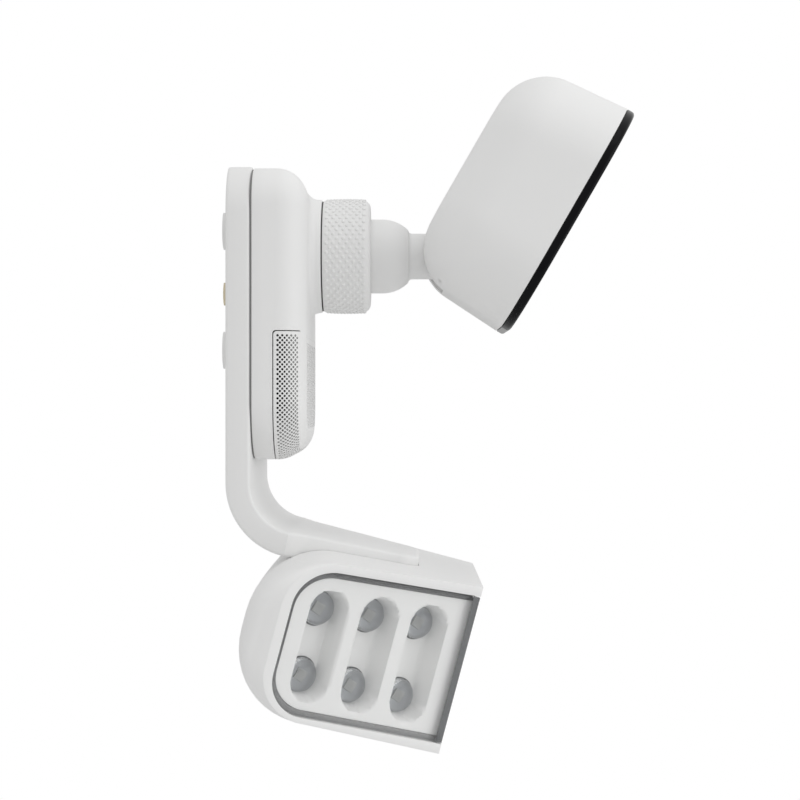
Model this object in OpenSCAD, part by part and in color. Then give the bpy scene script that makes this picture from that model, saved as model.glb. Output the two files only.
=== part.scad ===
// Wall-mounted outdoor security camera: a speaker base on a wall bracket, a camera head on
// a clamped swivel stem, and a three-sided lamp on the bracket's lower tongue.
// Millimetres. The wall is the plane y = 0, the front is -Y, up is +Z, and the origin is
// the middle of the four wall-screw holes.

/* [Wall bracket] */
// Width of the bracket and of the base
base_w = 74; // [70:1:80]
// Thickness of the bracket plate
plate_t = 7.2; // [6.6:0.1:7.6]
// Height of the spacers that hold the plate off the wall
spacer_h = 1.4; // [1:0.1:2]
// Sideways distance between wall-screw holes
wall_hole_dx = 52; // [46:1:54]
// Vertical distance between wall-screw holes
wall_hole_dz = 35.5; // [32:0.5:36]
// Outer radius of the bend that turns the plate into the tongue
bend_r = 22; // [20:0.5:24]
// Slope of the tongue below the horizontal, in degrees
tongue_slope = 13; // [12:0.5:14]
// Length of the tongue past the bend
tongue_l = 39.7; // [36:0.1:41]

/* [Speaker base] */
// Depth of the base housing in front of the plate
base_d = 15.9; // [15:0.1:17]
// Radius of the rounded front edge
base_edge_r = 9; // [7:0.5:10]
// Wall thickness of the housings
wall = 2.2; // [1.8:0.1:2.4]
// Depth behind the front face at which the grille starts on the sides
grille_d = 9.4; // [8:0.1:11]
// Radius of the loudspeaker
speaker_r = 14.2; // [13:0.1:14.4]

/* [Collar and stem] */
// Height of the stem's axis above the wall-screw centre
stem_z = 12.2; // [11:0.1:13]
// Outer radius of the knurled collar
collar_r = 17.6; // [17:0.1:18.5]
// Length of the knurled collar
collar_l = 14.7; // [13:0.1:15]
// Radius of the swivel post
post_r = 11.5; // [11:0.1:12]
// Radius of the neck
neck_r = 7.1; // [6.5:0.1:7.2]

/* [Camera head] */
// Width and height of the head at its front
head_w = 76.4; // [75:0.1:78]
// Depth of the head behind its black front
head_d = 33.8; // [33:0.1:35]
// Downward tilt of the head, in degrees
head_tilt = 30; // [25:1:35]
// Radius of the head's rounded back edge
head_edge_r = 14.8; // [14.4:0.1:15.2]
// Radius of the four corners of the head
head_corner_r = 23.8; // [22:0.1:25]
// Thickness of the head's wall
head_wall = 2.4; // [2:0.1:2.6]

/* [Lamp] */
// Width of the lamp's front face
lamp_front_w = 81.2; // [78:0.1:84]
// Height of the lamp's front face
lamp_h = 50.2; // [49:0.1:52]
// Depth of the lamp from front to back
lamp_d = 65.2; // [64:0.1:66]
// Angle of the side windows away from the front-to-back direction
lamp_flare = 33; // [31:0.5:35]
// Downward tilt of the lamp, in degrees
lamp_tilt = 15; // [14:0.5:16]
// Height of the window at the front
window_h = 44.4; // [43:0.1:45]
// Distance between columns of light-emitting diodes
led_pitch = 17.1; // [16.5:0.1:17.5]

/* [Hidden] */
$fn = 64;
hull_fn = 48;
gap = 0.15;

// Colours
white_plastic = [0.9, 0.9, 0.89];
black_gloss = [0.03, 0.03, 0.035];
board_green = [0.1, 0.32, 0.2];
dark_rubber = [0.08, 0.08, 0.08];
beige_rubber = [0.82, 0.78, 0.66];
bright_metal = [0.75, 0.76, 0.78];
clear_glass = [0.8, 0.85, 0.88, 0.35];

// Base and bracket, from the wall forward
plate_back = -spacer_h;
plate_front = plate_back - plate_t;
seam_t = 0.4;
housing_back = plate_front - seam_t;
base_front = housing_back - base_d;
base_top = 36.6;
base_bottom = -50.5;
base_top_r = 12;
base_bottom_r = 17;
plate_top = 37.4;
plate_top_r = 15;
bend_z = -57;
bend_turn = 90 - tongue_slope;
wall_hole_r = 2.4;
cable_hole_r = 5.5;
cable_r = 2.6;
grille_top = -12.4;
grille_back = base_front + grille_d;
speaker_z = -29.4;
speaker_front = base_front + wall + 1;
base_screw_spots = [[28, 27], [-28, 27], [32, -29], [-32, -29]];
screw_r = 1.5;
screw_head_r = 2.9;

// Collar and stem
boss_front = base_front - 3.6;
collar_back = boss_front - 0.3;
collar_front = collar_back - collar_l;
sleeve_front = collar_front + 1.5;
sleeve_r = 15.2;
spigot_r = 13.3;
sleeve_rear = base_front + 5.9;
dome_y = collar_front - 3.6;
neck_start = dome_y - post_r * 0.45;
fit = 0.06;

// Tilt pivot, measured in the head from the centre of its front plane
pivot_y = 18.9;
pivot_z = -23.4;
pivot_at = [0, -73.8, stem_z];
barrel_r = 10;
barrel_w = 18;
pin_r = 2.5;
ear_t = 3;
tilt_down = 20;
tilt_up = 30;
head_y = pivot_at.y - pivot_y * cos(head_tilt) + pivot_z * sin(head_tilt);
head_z = pivot_at.z - pivot_y * sin(head_tilt) - pivot_z * cos(head_tilt);
head_front = -0.6;
front_gap = 0.3;
front_t = 2.6;
lens_z = 4;
lens_r = 8.5;
head_boss = [25, -19];
reset_at = [-20, 22.4];
reset_z = -31.4;
switch_z = reset_z + 2;

// Lamp, measured from the centre of its front face
lamp_y = -70.4;
lamp_z = -111.3;
lamp_top_taper = 2.8;
lamp_bottom_taper = 3.9;
lamp_top_r = 22;
lamp_bottom_r = 19;
lamp_side_r = 6;
lamp_wall = 4.2;
window_end = 51.6;
window_taper = 2;
window_corner_r = 11;
cover_d = 0.5;
cover_t = 2.4;
reflector_d = 4.2;
reflector_t = 4.8;
led_board_t = 1.6;
led_dome_r = 5.2;
led_dome_h = 3.8;
led_first = 13.8;
led_rows = [11, 10.4, 9.7];
led_row_mid = -0.6;
trough_r = 6.6;
lamp_screw_x = 12;
saddle_z = 15.5;

// Points along an arc
function arc(cx, cy, r, a0, a1, n = 12) =
    [for (i = [0 : n]) [cx + r * cos(a0 + (a1 - a0) * i / n), cy + r * sin(a0 + (a1 - a0) * i / n)]];

// Extrude an outline given in y and z along X
module along_x(w) {
    rotate([90, 0, 90]) linear_extrude(w, center = true) children();
}

// Extrude an outline given in x and z forward from y
module along_y(y, d) {
    translate([0, y, 0]) rotate([90, 0, 0]) linear_extrude(d) children();
}

// Cylinder pointing forward from a point
module rod_y(at, r, l) {
    translate(at) rotate([90, 0, 0]) cylinder(r = r, h = l);
}

// Box given by two opposite corners
module box(lo, hi) {
    translate(lo) cube(hi - lo);
}

// One rounded corner of a soft box, its rounded edge at the top
module corner_puck(r, d, edge) {
    rotate_extrude($fn = hull_fn)
        polygon(concat([[0, 0], [r, 0]], arc(r - edge, d - edge, edge, 0, 90, 8), [[0, d]]));
}

// Four corners of a box that is flat at y = 0 and rounded at its front, y = -d
module soft_corners(half_x, z_lo, z_hi, d, r_lo, r_hi, edge) {
    for (side = [-1, 1]) {
        translate([side * (half_x - r_lo), 0, z_lo + r_lo]) rotate([90, 0, 0]) corner_puck(r_lo, d, edge);
        translate([side * (half_x - r_hi), 0, z_hi - r_hi]) rotate([90, 0, 0]) corner_puck(r_hi, d, edge);
    }
}

// Square with rounded corners, centred
module rounded_square(w, r) {
    square([w - 2 * r, w], center = true);
    square([w, w - 2 * r], center = true);
    for (x = [-1, 1], y = [-1, 1]) translate([x * (w / 2 - r), y * (w / 2 - r)]) circle(r);
}

// ---- Wall bracket ----

// Plate and bend in side view
function plate_profile() = let (c = plate_back - bend_r) concat(
    [[plate_front, plate_top], [plate_back, plate_top]],
    arc(c, bend_z, bend_r, 0, -bend_turn, 16),
    arc(c, bend_z, bend_r - plate_t, -bend_turn, 0, 16));

// Outline of the plate in front view
module plate_outline() {
    polygon(concat(
        [[-base_w / 2, -90], [base_w / 2, -90]],
        arc(base_w / 2 - plate_top_r, plate_top - plate_top_r, plate_top_r, 0, 90),
        arc(plate_top_r - base_w / 2, plate_top - plate_top_r, plate_top_r, 90, 180)));
}

// Tongue past the bend, grown by extra on every face
module tongue(extra = 0) {
    end_r = 7;
    root_w = base_w / 2 + extra;
    translate([0, plate_back - bend_r, bend_z]) rotate([tongue_slope, 0, 0])
        translate([0, 0, -bend_r - extra]) linear_extrude(plate_t + 2 * extra)
            polygon(concat(
                [[root_w, extra], [31 + extra, -6]],
                arc(20.5 - end_r, end_r - tongue_l, end_r + extra, 0, -90, 6),
                arc(end_r - 20.5, end_r - tongue_l, end_r + extra, -90, -180, 6),
                [[-31 - extra, -6], [-root_w, extra]]));
}

// Whole bracket before its holes
module bracket_body(extra = 0) {
    intersection() {
        along_x(base_w) polygon(plate_profile());
        along_y(1, 60) plate_outline();
    }
    tongue(extra);
}

module wall_bracket() {
    head_sink = 3.2;
    color(white_plastic) difference() {
        bracket_body();
        for (x = [-1, 1], z = [-1, 1]) {
            rod_y([x * wall_hole_dx / 2, 1, z * wall_hole_dz / 2], wall_hole_r, 20);
            rod_y([x * wall_hole_dx / 2, plate_front + head_sink, z * wall_hole_dz / 2], 4.8, 10);
        }
        rod_y([0, 1, 0], cable_hole_r, 20);
        for (at = base_screw_spots) {
            rod_y([at.x, 1, at.y], screw_r + gap, 20);
            rod_y([at.x, 1, at.y], screw_head_r + gap, 1 - plate_back + 2);
        }
        for (x = [-lamp_screw_x, lamp_screw_x]) lamp_screw(x, screw_r);
    }
}

module wall_spacers() {
    color(white_plastic) for (x = [-1, 1], z = [-1, 1]) difference() {
        rod_y([x * wall_hole_dx / 2, 0, z * wall_hole_dz / 2], 5.5, spacer_h);
        rod_y([x * wall_hole_dx / 2, 1, z * wall_hole_dz / 2], wall_hole_r, 5);
    }
}

module wall_bumpers() {
    color(beige_rubber) for (x = [-1, 1]) rod_y([x * wall_hole_dx / 2, -0.1, -1], 3.4, spacer_h - 0.1);
}

module cable_grommet() {
    color(dark_rubber) difference() {
        union() {
            rod_y([0, 0, 0], 8, spacer_h);
            rod_y([0, -1, 0], cable_hole_r - 0.05, 8.5);
        }
        rod_y([0, 1, 0], cable_r, 20);
    }
}

// ---- Speaker base ----

// Solid shape of the base, its skin moved in by inset and its back moved out by back
module base_shape(inset, back = 0) {
    translate([0, housing_back + back, 0]) hull()
        soft_corners(base_w / 2 - inset, base_bottom + inset, base_top - inset,
            base_d - inset + back, base_bottom_r - inset, base_top_r - inset, base_edge_r - inset);
}

// Space taken by the grille panel, grown by extra behind and above
module grille_zone(extra = 0) {
    step = 1.6;
    along_x(base_w + 10) polygon([
        [grille_back + extra, -70], [grille_back + extra, grille_top + extra],
        [base_front + step + extra, grille_top + extra], [base_front + extra, grille_top - step + extra],
        [base_front - 5, grille_top - step + extra], [base_front - 5, -70]]);
}

// Boss that carries the collar
module collar_boss() {
    difference() {
        rod_y([0, base_front + wall, stem_z], collar_r, base_front + wall - boss_front);
        rod_y([0, base_front + wall + 1, stem_z], spigot_r + 0.1, 30);
    }
}

module base_housing() {
    post_w = 3.2;
    color(white_plastic) {
        difference() {
            base_shape(0);
            difference() {
                base_shape(wall, 1);
                for (at = base_screw_spots) rod_y([at.x, housing_back, at.y], post_w, 30);
            }
            grille_zone(gap);
            rod_y([0, base_front + 10, stem_z], spigot_r + 0.1, 30);
            for (at = base_screw_spots) rod_y([at.x, 1, at.y], screw_r, 20);
        }
        collar_boss();
    }
}

module base_gasket() {
    rim = 1.6;
    color(dark_rubber) translate([0, plate_front - 0.02, 0]) difference() {
        hull() soft_corners(base_w / 2 - 0.4, base_bottom + 0.4, base_top - 0.4, seam_t - 0.04,
            base_bottom_r, base_top_r, 0.1);
        translate([0, 1, 0])
            hull() soft_corners(base_w / 2 - rim, base_bottom + rim, base_top - rim, 3,
                base_bottom_r - rim, base_top_r - rim, 0.1);
    }
}

module base_screws() {
    color(bright_metal) for (at = base_screw_spots) {
        rod_y([at.x, plate_back, at.y], screw_head_r, 1.8);
        rod_y([at.x, plate_back - 1, at.y], screw_r, 16);
    }
}

module speaker_grille() {
    color(white_plastic) intersection() {
        difference() {
            base_shape(0);
            base_shape(wall);
        }
        grille_zone();
    }
}

module acoustic_cloth() {
    cloth_t = 0.4;
    edge = 2;
    color(dark_rubber) intersection() {
        difference() {
            base_shape(wall + 0.05);
            base_shape(wall + 0.05 + cloth_t);
        }
        translate([0, -edge, -edge]) grille_zone();
        box([-32, base_front, base_bottom], [32, grille_back, grille_top]);
    }
}

module speaker_frame() {
    color([0.2, 0.2, 0.21]) difference() {
        union() {
            rod_y([0, speaker_front + 3, speaker_z], speaker_r, 3);
            rod_y([0, speaker_front + 6.5, speaker_z], speaker_r - 3, 4);
            rod_y([0, speaker_front + 10.2, speaker_z], speaker_r - 7, 4);
        }
        rod_y([0, speaker_front + 2.5, speaker_z], speaker_r - 2.5, 10);
    }
}

module speaker_cone() {
    color([0.12, 0.12, 0.12]) translate([0, speaker_front + 2.4, speaker_z]) rotate([90, 0, 0])
        rotate_extrude() polygon([
            [0, 0], [5, 0], [speaker_r - 2.7, 1.6], [speaker_r - 2.7, 2.1], [5, 0.9], [0, 1.6]]);
}

module base_board() {
    board_y = base_front + 12.6;
    color(board_green) {
        box([-24, board_y, -7], [24, board_y + 1.6, 32]);
        box([-18, board_y + 1.6, 2.5 + cable_hole_r], [-6, board_y + 3, 20]);
        box([4, board_y + 1.6, 2.5 + cable_hole_r], [18, board_y + 3, 16]);
    }
}

// ---- Collar and stem ----

module socket_sleeve() {
    color(bright_metal) difference() {
        union() {
            rod_y([0, boss_front, stem_z], sleeve_r, boss_front - sleeve_front);
            rod_y([0, sleeve_rear, stem_z], spigot_r, sleeve_rear - boss_front + 1);
        }
        rod_y([0, sleeve_rear + 1, stem_z], post_r + fit, 40);
    }
}

module sleeve_nut() {
    color(bright_metal) difference() {
        rod_y([0, base_front + wall + 3.2, stem_z], collar_r - 1, 3);
        rod_y([0, base_front + wall + 4, stem_z], spigot_r + 0.05, 5);
    }
}

module collar_ring() {
    lip_r = post_r + 0.35;
    knurl_count = 36;
    swell = 0.25;
    front_r = 3;
    color(white_plastic) translate([0, collar_back, stem_z]) rotate([90, 0, 0]) difference() {
        rotate_extrude() polygon(concat(
            [[sleeve_r + 0.1, 0], [collar_r - 0.6, 0], [collar_r - swell, 0.5], [collar_r, collar_l / 2]],
            arc(collar_r - swell - front_r, collar_l - front_r, front_r, 0, 90, 6),
            [[lip_r, collar_l], [lip_r, collar_l - 1.2], [sleeve_r + 0.1, collar_l - 1.2]]));
        for (i = [0 : knurl_count - 1]) rotate([0, 0, i * 360 / knurl_count])
            translate([collar_r + 0.2, 0, 1.2]) cylinder(r = 0.5, h = collar_l - 5, $fn = 24);
    }
}

module swivel_post() {
    flange_y = sleeve_rear + 0.3;
    color(white_plastic) difference() {
        union() {
            rod_y([0, flange_y + 2.2, stem_z], spigot_r, 2.2);
            rod_y([0, flange_y + 1, stem_z], post_r, flange_y + 1 - dome_y);
            translate([0, dome_y, stem_z]) sphere(post_r);
        }
        rod_y([0, neck_start, stem_z], neck_r + 0.03, 30);
    }
}

module neck_arm() {
    color(white_plastic) difference() {
        union() {
            rod_y([0, neck_start - 0.03, stem_z], neck_r, neck_start - pivot_at.y);
            translate(pivot_at) rotate([0, 90, 0]) cylinder(r = barrel_r, h = barrel_w, center = true);
        }
        translate(pivot_at) rotate([0, 90, 0]) cylinder(r = pin_r + fit, h = 40, center = true);
    }
}

// ---- Camera head ----

module at_head() {
    translate([0, head_y, head_z]) rotate([head_tilt, 0, 0]) children();
}

// Solid shape of the head, its skin moved in by inset, with a little draft towards the back
module head_shape(inset) {
    half = head_w / 2;
    corner = half - head_corner_r;
    back_d = head_edge_r - inset + 1;
    hull() {
        translate([0, head_d - inset - back_d, 0]) mirror([0, 1, 0])
            soft_corners(half - 0.9 - inset, inset - half + 2, half - 2.8 - inset, back_d,
                head_corner_r - inset, head_corner_r - inset, head_edge_r - inset);
        for (x = [-1, 1], z = [-1, 1])
            rod_y([x * corner, 0, z * corner], head_corner_r - inset, -head_front, $fn = hull_fn);
    }
}

// Sweep of the neck through the back of the head
module tilt_slot() {
    half = neck_r + 0.5;
    along_x(2 * half) translate([pivot_y, pivot_z])
        for (a = [head_tilt - tilt_up, head_tilt + (tilt_down - tilt_up) / 2, head_tilt + tilt_down])
            rotate(-a) translate([0, -half]) square([40, 2 * half]);
}

module head_shell() {
    color(white_plastic) at_head() difference() {
        head_shape(0);
        difference() {
            union() {
                head_shape(head_wall);
                along_y(1, 5) rounded_square(head_w - 2 * head_wall, head_corner_r - head_wall);
            }
            for (x = [-1, 1]) rod_y([x * head_boss.x, 40, head_boss.y], 4, 34.5);
            translate([reset_at.x, reset_at.y, -45]) difference() {
                cylinder(r = 2.6, h = 46.3 + reset_z);
                cylinder(r = 1.9, h = 20);
            }
        }
        tilt_slot();
        translate([reset_at.x, reset_at.y, -45]) cylinder(r = 0.6, h = 14);
        for (x = [-1, 1]) rod_y([x * head_boss.x, 20, head_boss.y], 1.25, 30);
    }
}

module head_gasket() {
    color(dark_rubber) at_head() along_y(head_front, front_gap - 0.02) difference() {
        rounded_square(head_w - 0.8, head_corner_r - 0.4);
        rounded_square(head_w - 7, head_corner_r - 3.5);
    }
}

module front_plate() {
    edge = 1.3;
    y = head_front - front_gap;
    light_r = 1.2;
    color(black_gloss) at_head() difference() {
        union() {
            along_y(y, front_t - edge) rounded_square(head_w, head_corner_r);
            along_y(y - front_t + edge, edge / 2) rounded_square(head_w - 0.6, head_corner_r - 0.3);
            along_y(y - front_t + edge / 2, edge / 2) rounded_square(head_w - 2, head_corner_r - 1);
        }
        rod_y([0, 5, lens_z], lens_r + 1.7, 20);
        rod_y([0, 5, -20], light_r, 20);
        rod_y([0, 5, -27], 0.6, 20);
    }
}

module lens_ring() {
    color([0.2, 0.2, 0.21]) at_head() difference() {
        rod_y([0, head_front - 0.1, lens_z], lens_r + 1.6, front_gap + front_t + 0.3);
        rod_y([0, 5, lens_z], lens_r + 0.05, 20);
    }
}

module lens_glass() {
    color([0.12, 0.14, 0.2, 0.6]) at_head() translate([0, head_front - 1.2, lens_z]) rotate([90, 0, 0])
        rotate_extrude() polygon([[0, 0], [lens_r, 0], [lens_r, 0.8], [lens_r / 2, 1.6], [0, 1.9]]);
}

module lens_barrel() {
    color([0.15, 0.15, 0.16]) at_head() difference() {
        union() {
            rod_y([0, 1.6, lens_z], 10.5, 1.4 - head_front);
            rod_y([0, 18.2, lens_z], 8, 17.4);
        }
        translate([0, head_front - 0.9, lens_z]) rotate([-90, 0, 0]) cylinder(r1 = 8.2, r2 = 2.5, h = 9);
    }
}

module sensor_board() {
    color(board_green) at_head() {
        box([-13, 18.4, lens_z - 13], [13, 20, lens_z + 13]);
    }
}

module infrared_board() {
    color(board_green) at_head() difference() {
        rod_y([0, 5.2, lens_z], 19, 1.6);
        rod_y([0, 8, lens_z], 8.4, 10);
    }
}

module infrared_leds() {
    color([0.2, 0.1, 0.12]) at_head() for (a = [30 : 60 : 330])
        rod_y([16 * cos(a), 3.5, lens_z + 16 * sin(a)], 1.75, 3.2);
}

module status_light() {
    color([0.5, 0.8, 0.95]) at_head() rod_y([0, 1.2, -20], 1.1, 4.9);
}

module main_board() {
    color(board_green) at_head() {
        box([-27, 22, -8], [27, 23.6, 27]);
        box([-10, 20.8, 20], [10, 22, 26]);
        box([-22, 20.6, -7], [-15, 22, 4]);
        box([reset_at.x - 0.5, 22, switch_z + 2.7], [reset_at.x + 4, 23.6, -7.9]);
    }
}

module heat_spreader() {
    color(bright_metal) at_head() box([-20, 23.8, -6], [20, 25.6, 24]);
}

module tilt_yoke() {
    ear_in = barrel_w / 2 + 0.9;
    color(bright_metal) at_head() difference() {
        union() {
            for (side = [-1, 1]) translate([side * (ear_in + ear_t / 2), 0, 0]) along_x(ear_t) {
                translate([pivot_y, pivot_z]) circle(7.5);
                translate([5.4, pivot_z - 6]) square([pivot_y - 5.4, 12]);
            }
            box([-28.6, 3.4, pivot_z - 6], [28.6, 5.4, pivot_z + 8.2]);
        }
        translate([0, pivot_y, pivot_z]) rotate([0, 90, 0])
            cylinder(r = pin_r + fit / 2, h = 60, center = true);
        for (x = [-1, 1]) rod_y([x * head_boss.x, 20, head_boss.y], screw_r + gap, 30);
    }
}

module tilt_pin() {
    reach = barrel_w + 2 * (0.9 + ear_t);
    color(bright_metal) translate(pivot_at) rotate([0, 90, 0]) {
        cylinder(r = pin_r, h = reach, center = true);
        translate([0, 0, reach / 2]) cylinder(r = 4, h = 1.5);
    }
}

module tilt_washers() {
    washer_t = 0.55;
    color(dark_rubber) for (side = [-1, 1])
        translate([side * (barrel_w / 2 + 0.9 - washer_t / 2), pivot_at.y, pivot_at.z]) rotate([0, 90, 0])
            difference() {
                cylinder(r = 6, h = washer_t, center = true);
                cylinder(r = pin_r, h = 5, center = true);
            }
}

module yoke_screws() {
    color(bright_metal) at_head() for (x = [-1, 1]) {
        rod_y([x * head_boss.x, 3.4, head_boss.y], screw_head_r, 1.6);
        rod_y([x * head_boss.x, 14, head_boss.y], 1.25, 11);
    }
}

module reset_switch() {
    color([0.25, 0.25, 0.26]) at_head()
        box([reset_at.x - 3, 18.4, switch_z], [reset_at.x + 3, 21.98, switch_z + 3.2]);
}

module reset_plunger() {
    color([0.85, 0.85, 0.85]) at_head() translate([reset_at.x, reset_at.y, reset_z])
        cylinder(r = 1.55, h = 1.1);
}

// ---- Lamp ----

module at_lamp() {
    translate([0, lamp_y, lamp_z]) rotate([lamp_tilt, 0, 0]) children();
}

// Half width of the lamp's three-sided front at depth y, moved in by d
function lamp_half(y, d) = lamp_front_w / 2 + y * tan(lamp_flare) - d / cos(lamp_flare);

// Corner between the front and a side window, moved in by d
function lamp_corner(d) = [lamp_half(d, d), d];

// Point on a side window's plane, moved in by d, at distance s from the front corner
function side_point(s, d) = [
    lamp_front_w / 2 + s * sin(lamp_flare) - d * cos(lamp_flare),
    s * cos(lamp_flare) + d * sin(lamp_flare)];

// Reverse a list and mirror its points to the other side
function mirrored(points) = [for (i = [len(points) - 1 : -1 : 0]) [-points[i].x, points[i].y]];

// Lamp seen from above, moved in by d in front and by back_d behind
module lamp_plan(d, back_d) {
    y_end = lamp_d - back_d;
    r = lamp_side_r;
    x_end = lamp_half(y_end - r, d) - r / cos(lamp_flare);
    half = concat([lamp_corner(d)], arc(x_end, y_end - r, r, -lamp_flare, 90, 8));
    polygon(concat(half, mirrored(half)));
}

// Lamp seen from the side, moved in by d
module lamp_side(d) {
    top = lamp_h / 2 - d;
    back = lamp_d - d;
    top_end = top - back * tan(lamp_top_taper);
    bottom_end = back * tan(lamp_bottom_taper) - top;
    polygon(concat(
        [[-5, -top - 5 * tan(lamp_bottom_taper)]],
        arc(back - lamp_bottom_r + d, bottom_end + lamp_bottom_r - d, lamp_bottom_r - d, -86, 0, 10),
        arc(back - lamp_top_r + d, top_end - lamp_top_r + d, lamp_top_r - d, 0, 87, 8),
        [[-5, top + 5 * tan(lamp_top_taper)]]));
}

// Window seen from the side, shrunk by d
module window_side(d) {
    half = window_h / 2 - d;
    back = window_end - d;
    end = half - back * tan(window_taper);
    polygon(concat(
        [[-5, -half]],
        arc(back - window_corner_r, window_corner_r - end, window_corner_r, -90, 0, 8),
        arc(back - window_corner_r, end - window_corner_r, window_corner_r, 0, 90, 8),
        [[-5, half]]));
}

// Three-sided strip between depths d0 and d1 behind the window planes, seen from above
module window_strip(d0, d1, s_end) {
    outer = [side_point(s_end, d0), lamp_corner(d0)];
    inner = [lamp_corner(d1), side_point(s_end, d1)];
    polygon(concat(outer, mirrored(outer), mirrored(inner), inner));
}

// Solid between depths d0 and d1 that follows the window, shrunk by d
module window_slab(d0, d1, d) {
    s_end = 70;
    intersection() {
        linear_extrude(80, center = true) window_strip(d0, d1, s_end);
        along_x(200) window_side(d);
    }
}

module lamp_housing() {
    color(white_plastic) difference() {
        at_lamp() difference() {
            intersection() {
                linear_extrude(80, center = true) lamp_plan(0, 0);
                along_x(200) lamp_side(0);
            }
            difference() {
                intersection() {
                    linear_extrude(80, center = true) lamp_plan(cover_d + cover_t + gap, 2.4);
                    along_x(200) lamp_side(lamp_wall);
                }
                box([-26, 16, saddle_z], [26, lamp_d, lamp_h]);
            }
            window_slab(-3, cover_d + cover_t + gap + 0.01, 0);
        }
        bracket_body(gap);
        translate([0, -gap, -gap]) bracket_body(gap);
        for (x = [-lamp_screw_x, lamp_screw_x]) lamp_screw(x, screw_r + gap);
    }
}

module lamp_cover() {
    color(clear_glass) at_lamp() window_slab(cover_d, cover_d + cover_t, gap);
}

// Frame of one window: y runs along it from the front corner, and -x goes inwards
module at_window(side) {
    if (side == 0) rotate([0, 0, -90]) children();
    if (side > 0) translate([lamp_front_w / 2, 0, 0]) rotate([0, 0, -lamp_flare]) children();
    if (side < 0) mirror([1, 0, 0]) at_window(1) children();
}

// Places of the diodes on one window: distance along it, half row spacing
function led_columns(side) = side == 0
    ? [for (i = [-1.5 : 1 : 1.5]) [i * led_pitch, led_rows[0]]]
    : [for (i = [0 : 2]) [led_first + i * led_pitch, led_rows[i]]];

// Flat slab behind one window between depths d0 and d1, its corners mitred
module lamp_slab(side, d0, d1, half_h) {
    mitre = 0.1;
    s_end = 59;
    along = mitre * [sin(lamp_flare), cos(lamp_flare)];
    linear_extrude(2 * half_h, center = true) {
        if (side == 0) polygon([
            lamp_corner(d0) - [mitre, 0], lamp_corner(d1) - [mitre, 0],
            [mitre - lamp_corner(d1).x, d1], [mitre - lamp_corner(d0).x, d0]]);
        if (side != 0) mirror([side < 0 ? 1 : 0, 0])
            polygon([
                lamp_corner(d0) + along, side_point(s_end, d0),
                side_point(s_end, d1), lamp_corner(d1) + along]);
    }
}

module reflector(side) {
    color(white_plastic) at_lamp() difference() {
        intersection() {
            lamp_slab(side, reflector_d, reflector_d + reflector_t, 20);
            along_x(200) lamp_side(lamp_wall + 0.1);
        }
        at_window(side) for (col = led_columns(side)) {
            for (row = [-1, 1]) translate([-20, col[0], led_row_mid + row * col[1]]) rotate([0, 90, 0])
                cylinder(r = trough_r, h = 30);
            box([-20, col[0] - trough_r, led_row_mid - col[1]],
                [10, col[0] + trough_r, led_row_mid + col[1]]);
        }
    }
}

module lenses(side) {
    base_d0 = reflector_d + reflector_t + 0.1;
    ball = (led_dome_r * led_dome_r + led_dome_h * led_dome_h) / (2 * led_dome_h);
    color(clear_glass) at_lamp() at_window(side) for (col = led_columns(side), row = [-1, 1])
        translate([-base_d0, col[0], led_row_mid + row * col[1]]) rotate([0, 90, 0]) intersection() {
            translate([0, 0, led_dome_h - ball]) sphere(ball);
            cylinder(r = led_dome_r + 1, h = led_dome_h + 1);
        }
}

module led_board(side) {
    d0 = reflector_d + reflector_t + 0.15;
    color([0.93, 0.93, 0.9]) at_lamp() intersection() {
        lamp_slab(side, d0, d0 + led_board_t, 18.5);
        along_x(200) lamp_side(lamp_wall + 0.1);
    }
}

module lamp_heat_sink() {
    d0 = reflector_d + reflector_t + led_board_t + 0.25;
    color(bright_metal) at_lamp() {
        linear_extrude(30, center = true) window_strip(d0, d0 + 2.5, 50);
        for (x = [-21 : 7 : 21]) box([x - 0.6, d0 + 2.4, -15], [x + 0.6, d0 + 12, 15]);
    }
}

module lamp_driver() {
    color(board_green) at_lamp() {
        box([-36, 40, -16], [36, 41.6, 10]);
        box([-30, 41.5, -12], [-14, 53, 4]);
        box([-8, 41.5, -10], [4, 50, 2]);
        box([12, 41.5, -12], [30, 48, 6]);
    }
}

// Screw hole or shank that rises through the lamp's roof into the tongue
module lamp_screw(x, r) {
    translate([0, plate_back - bend_r, bend_z]) rotate([tongue_slope, 0, 0])
        translate([x, -14, -bend_r - 3.6]) cylinder(r = r, h = 8.6);
}

module lamp_screws() {
    color(bright_metal) for (x = [-lamp_screw_x, lamp_screw_x]) {
        lamp_screw(x, screw_r);
        translate([0, plate_back - bend_r, bend_z]) rotate([tongue_slope, 0, 0])
            translate([x, -14, -bend_r - 5.5]) cylinder(r = screw_head_r + 0.6, h = 2);
    }
}

wall_bracket();
wall_spacers();
wall_bumpers();
cable_grommet();
base_gasket();
base_housing();
base_screws();
speaker_grille();
acoustic_cloth();
speaker_frame();
speaker_cone();
base_board();
socket_sleeve();
sleeve_nut();
collar_ring();
swivel_post();
neck_arm();
head_shell();
head_gasket();
front_plate();
lens_ring();
lens_glass();
lens_barrel();
sensor_board();
infrared_board();
infrared_leds();
status_light();
main_board();
heat_spreader();
tilt_yoke();
tilt_pin();
tilt_washers();
yoke_screws();
reset_switch();
reset_plunger();
lamp_housing();
lamp_cover();
reflector(-1);  // reflector_left
reflector(0);  // reflector_front
reflector(1);  // reflector_right
lenses(-1);  // lenses_left
lenses(0);  // lenses_front
lenses(1);  // lenses_right
led_board(-1);  // led_board_left
led_board(0);  // led_board_front
led_board(1);  // led_board_right
lamp_heat_sink();
lamp_driver();
lamp_screws();
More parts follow.
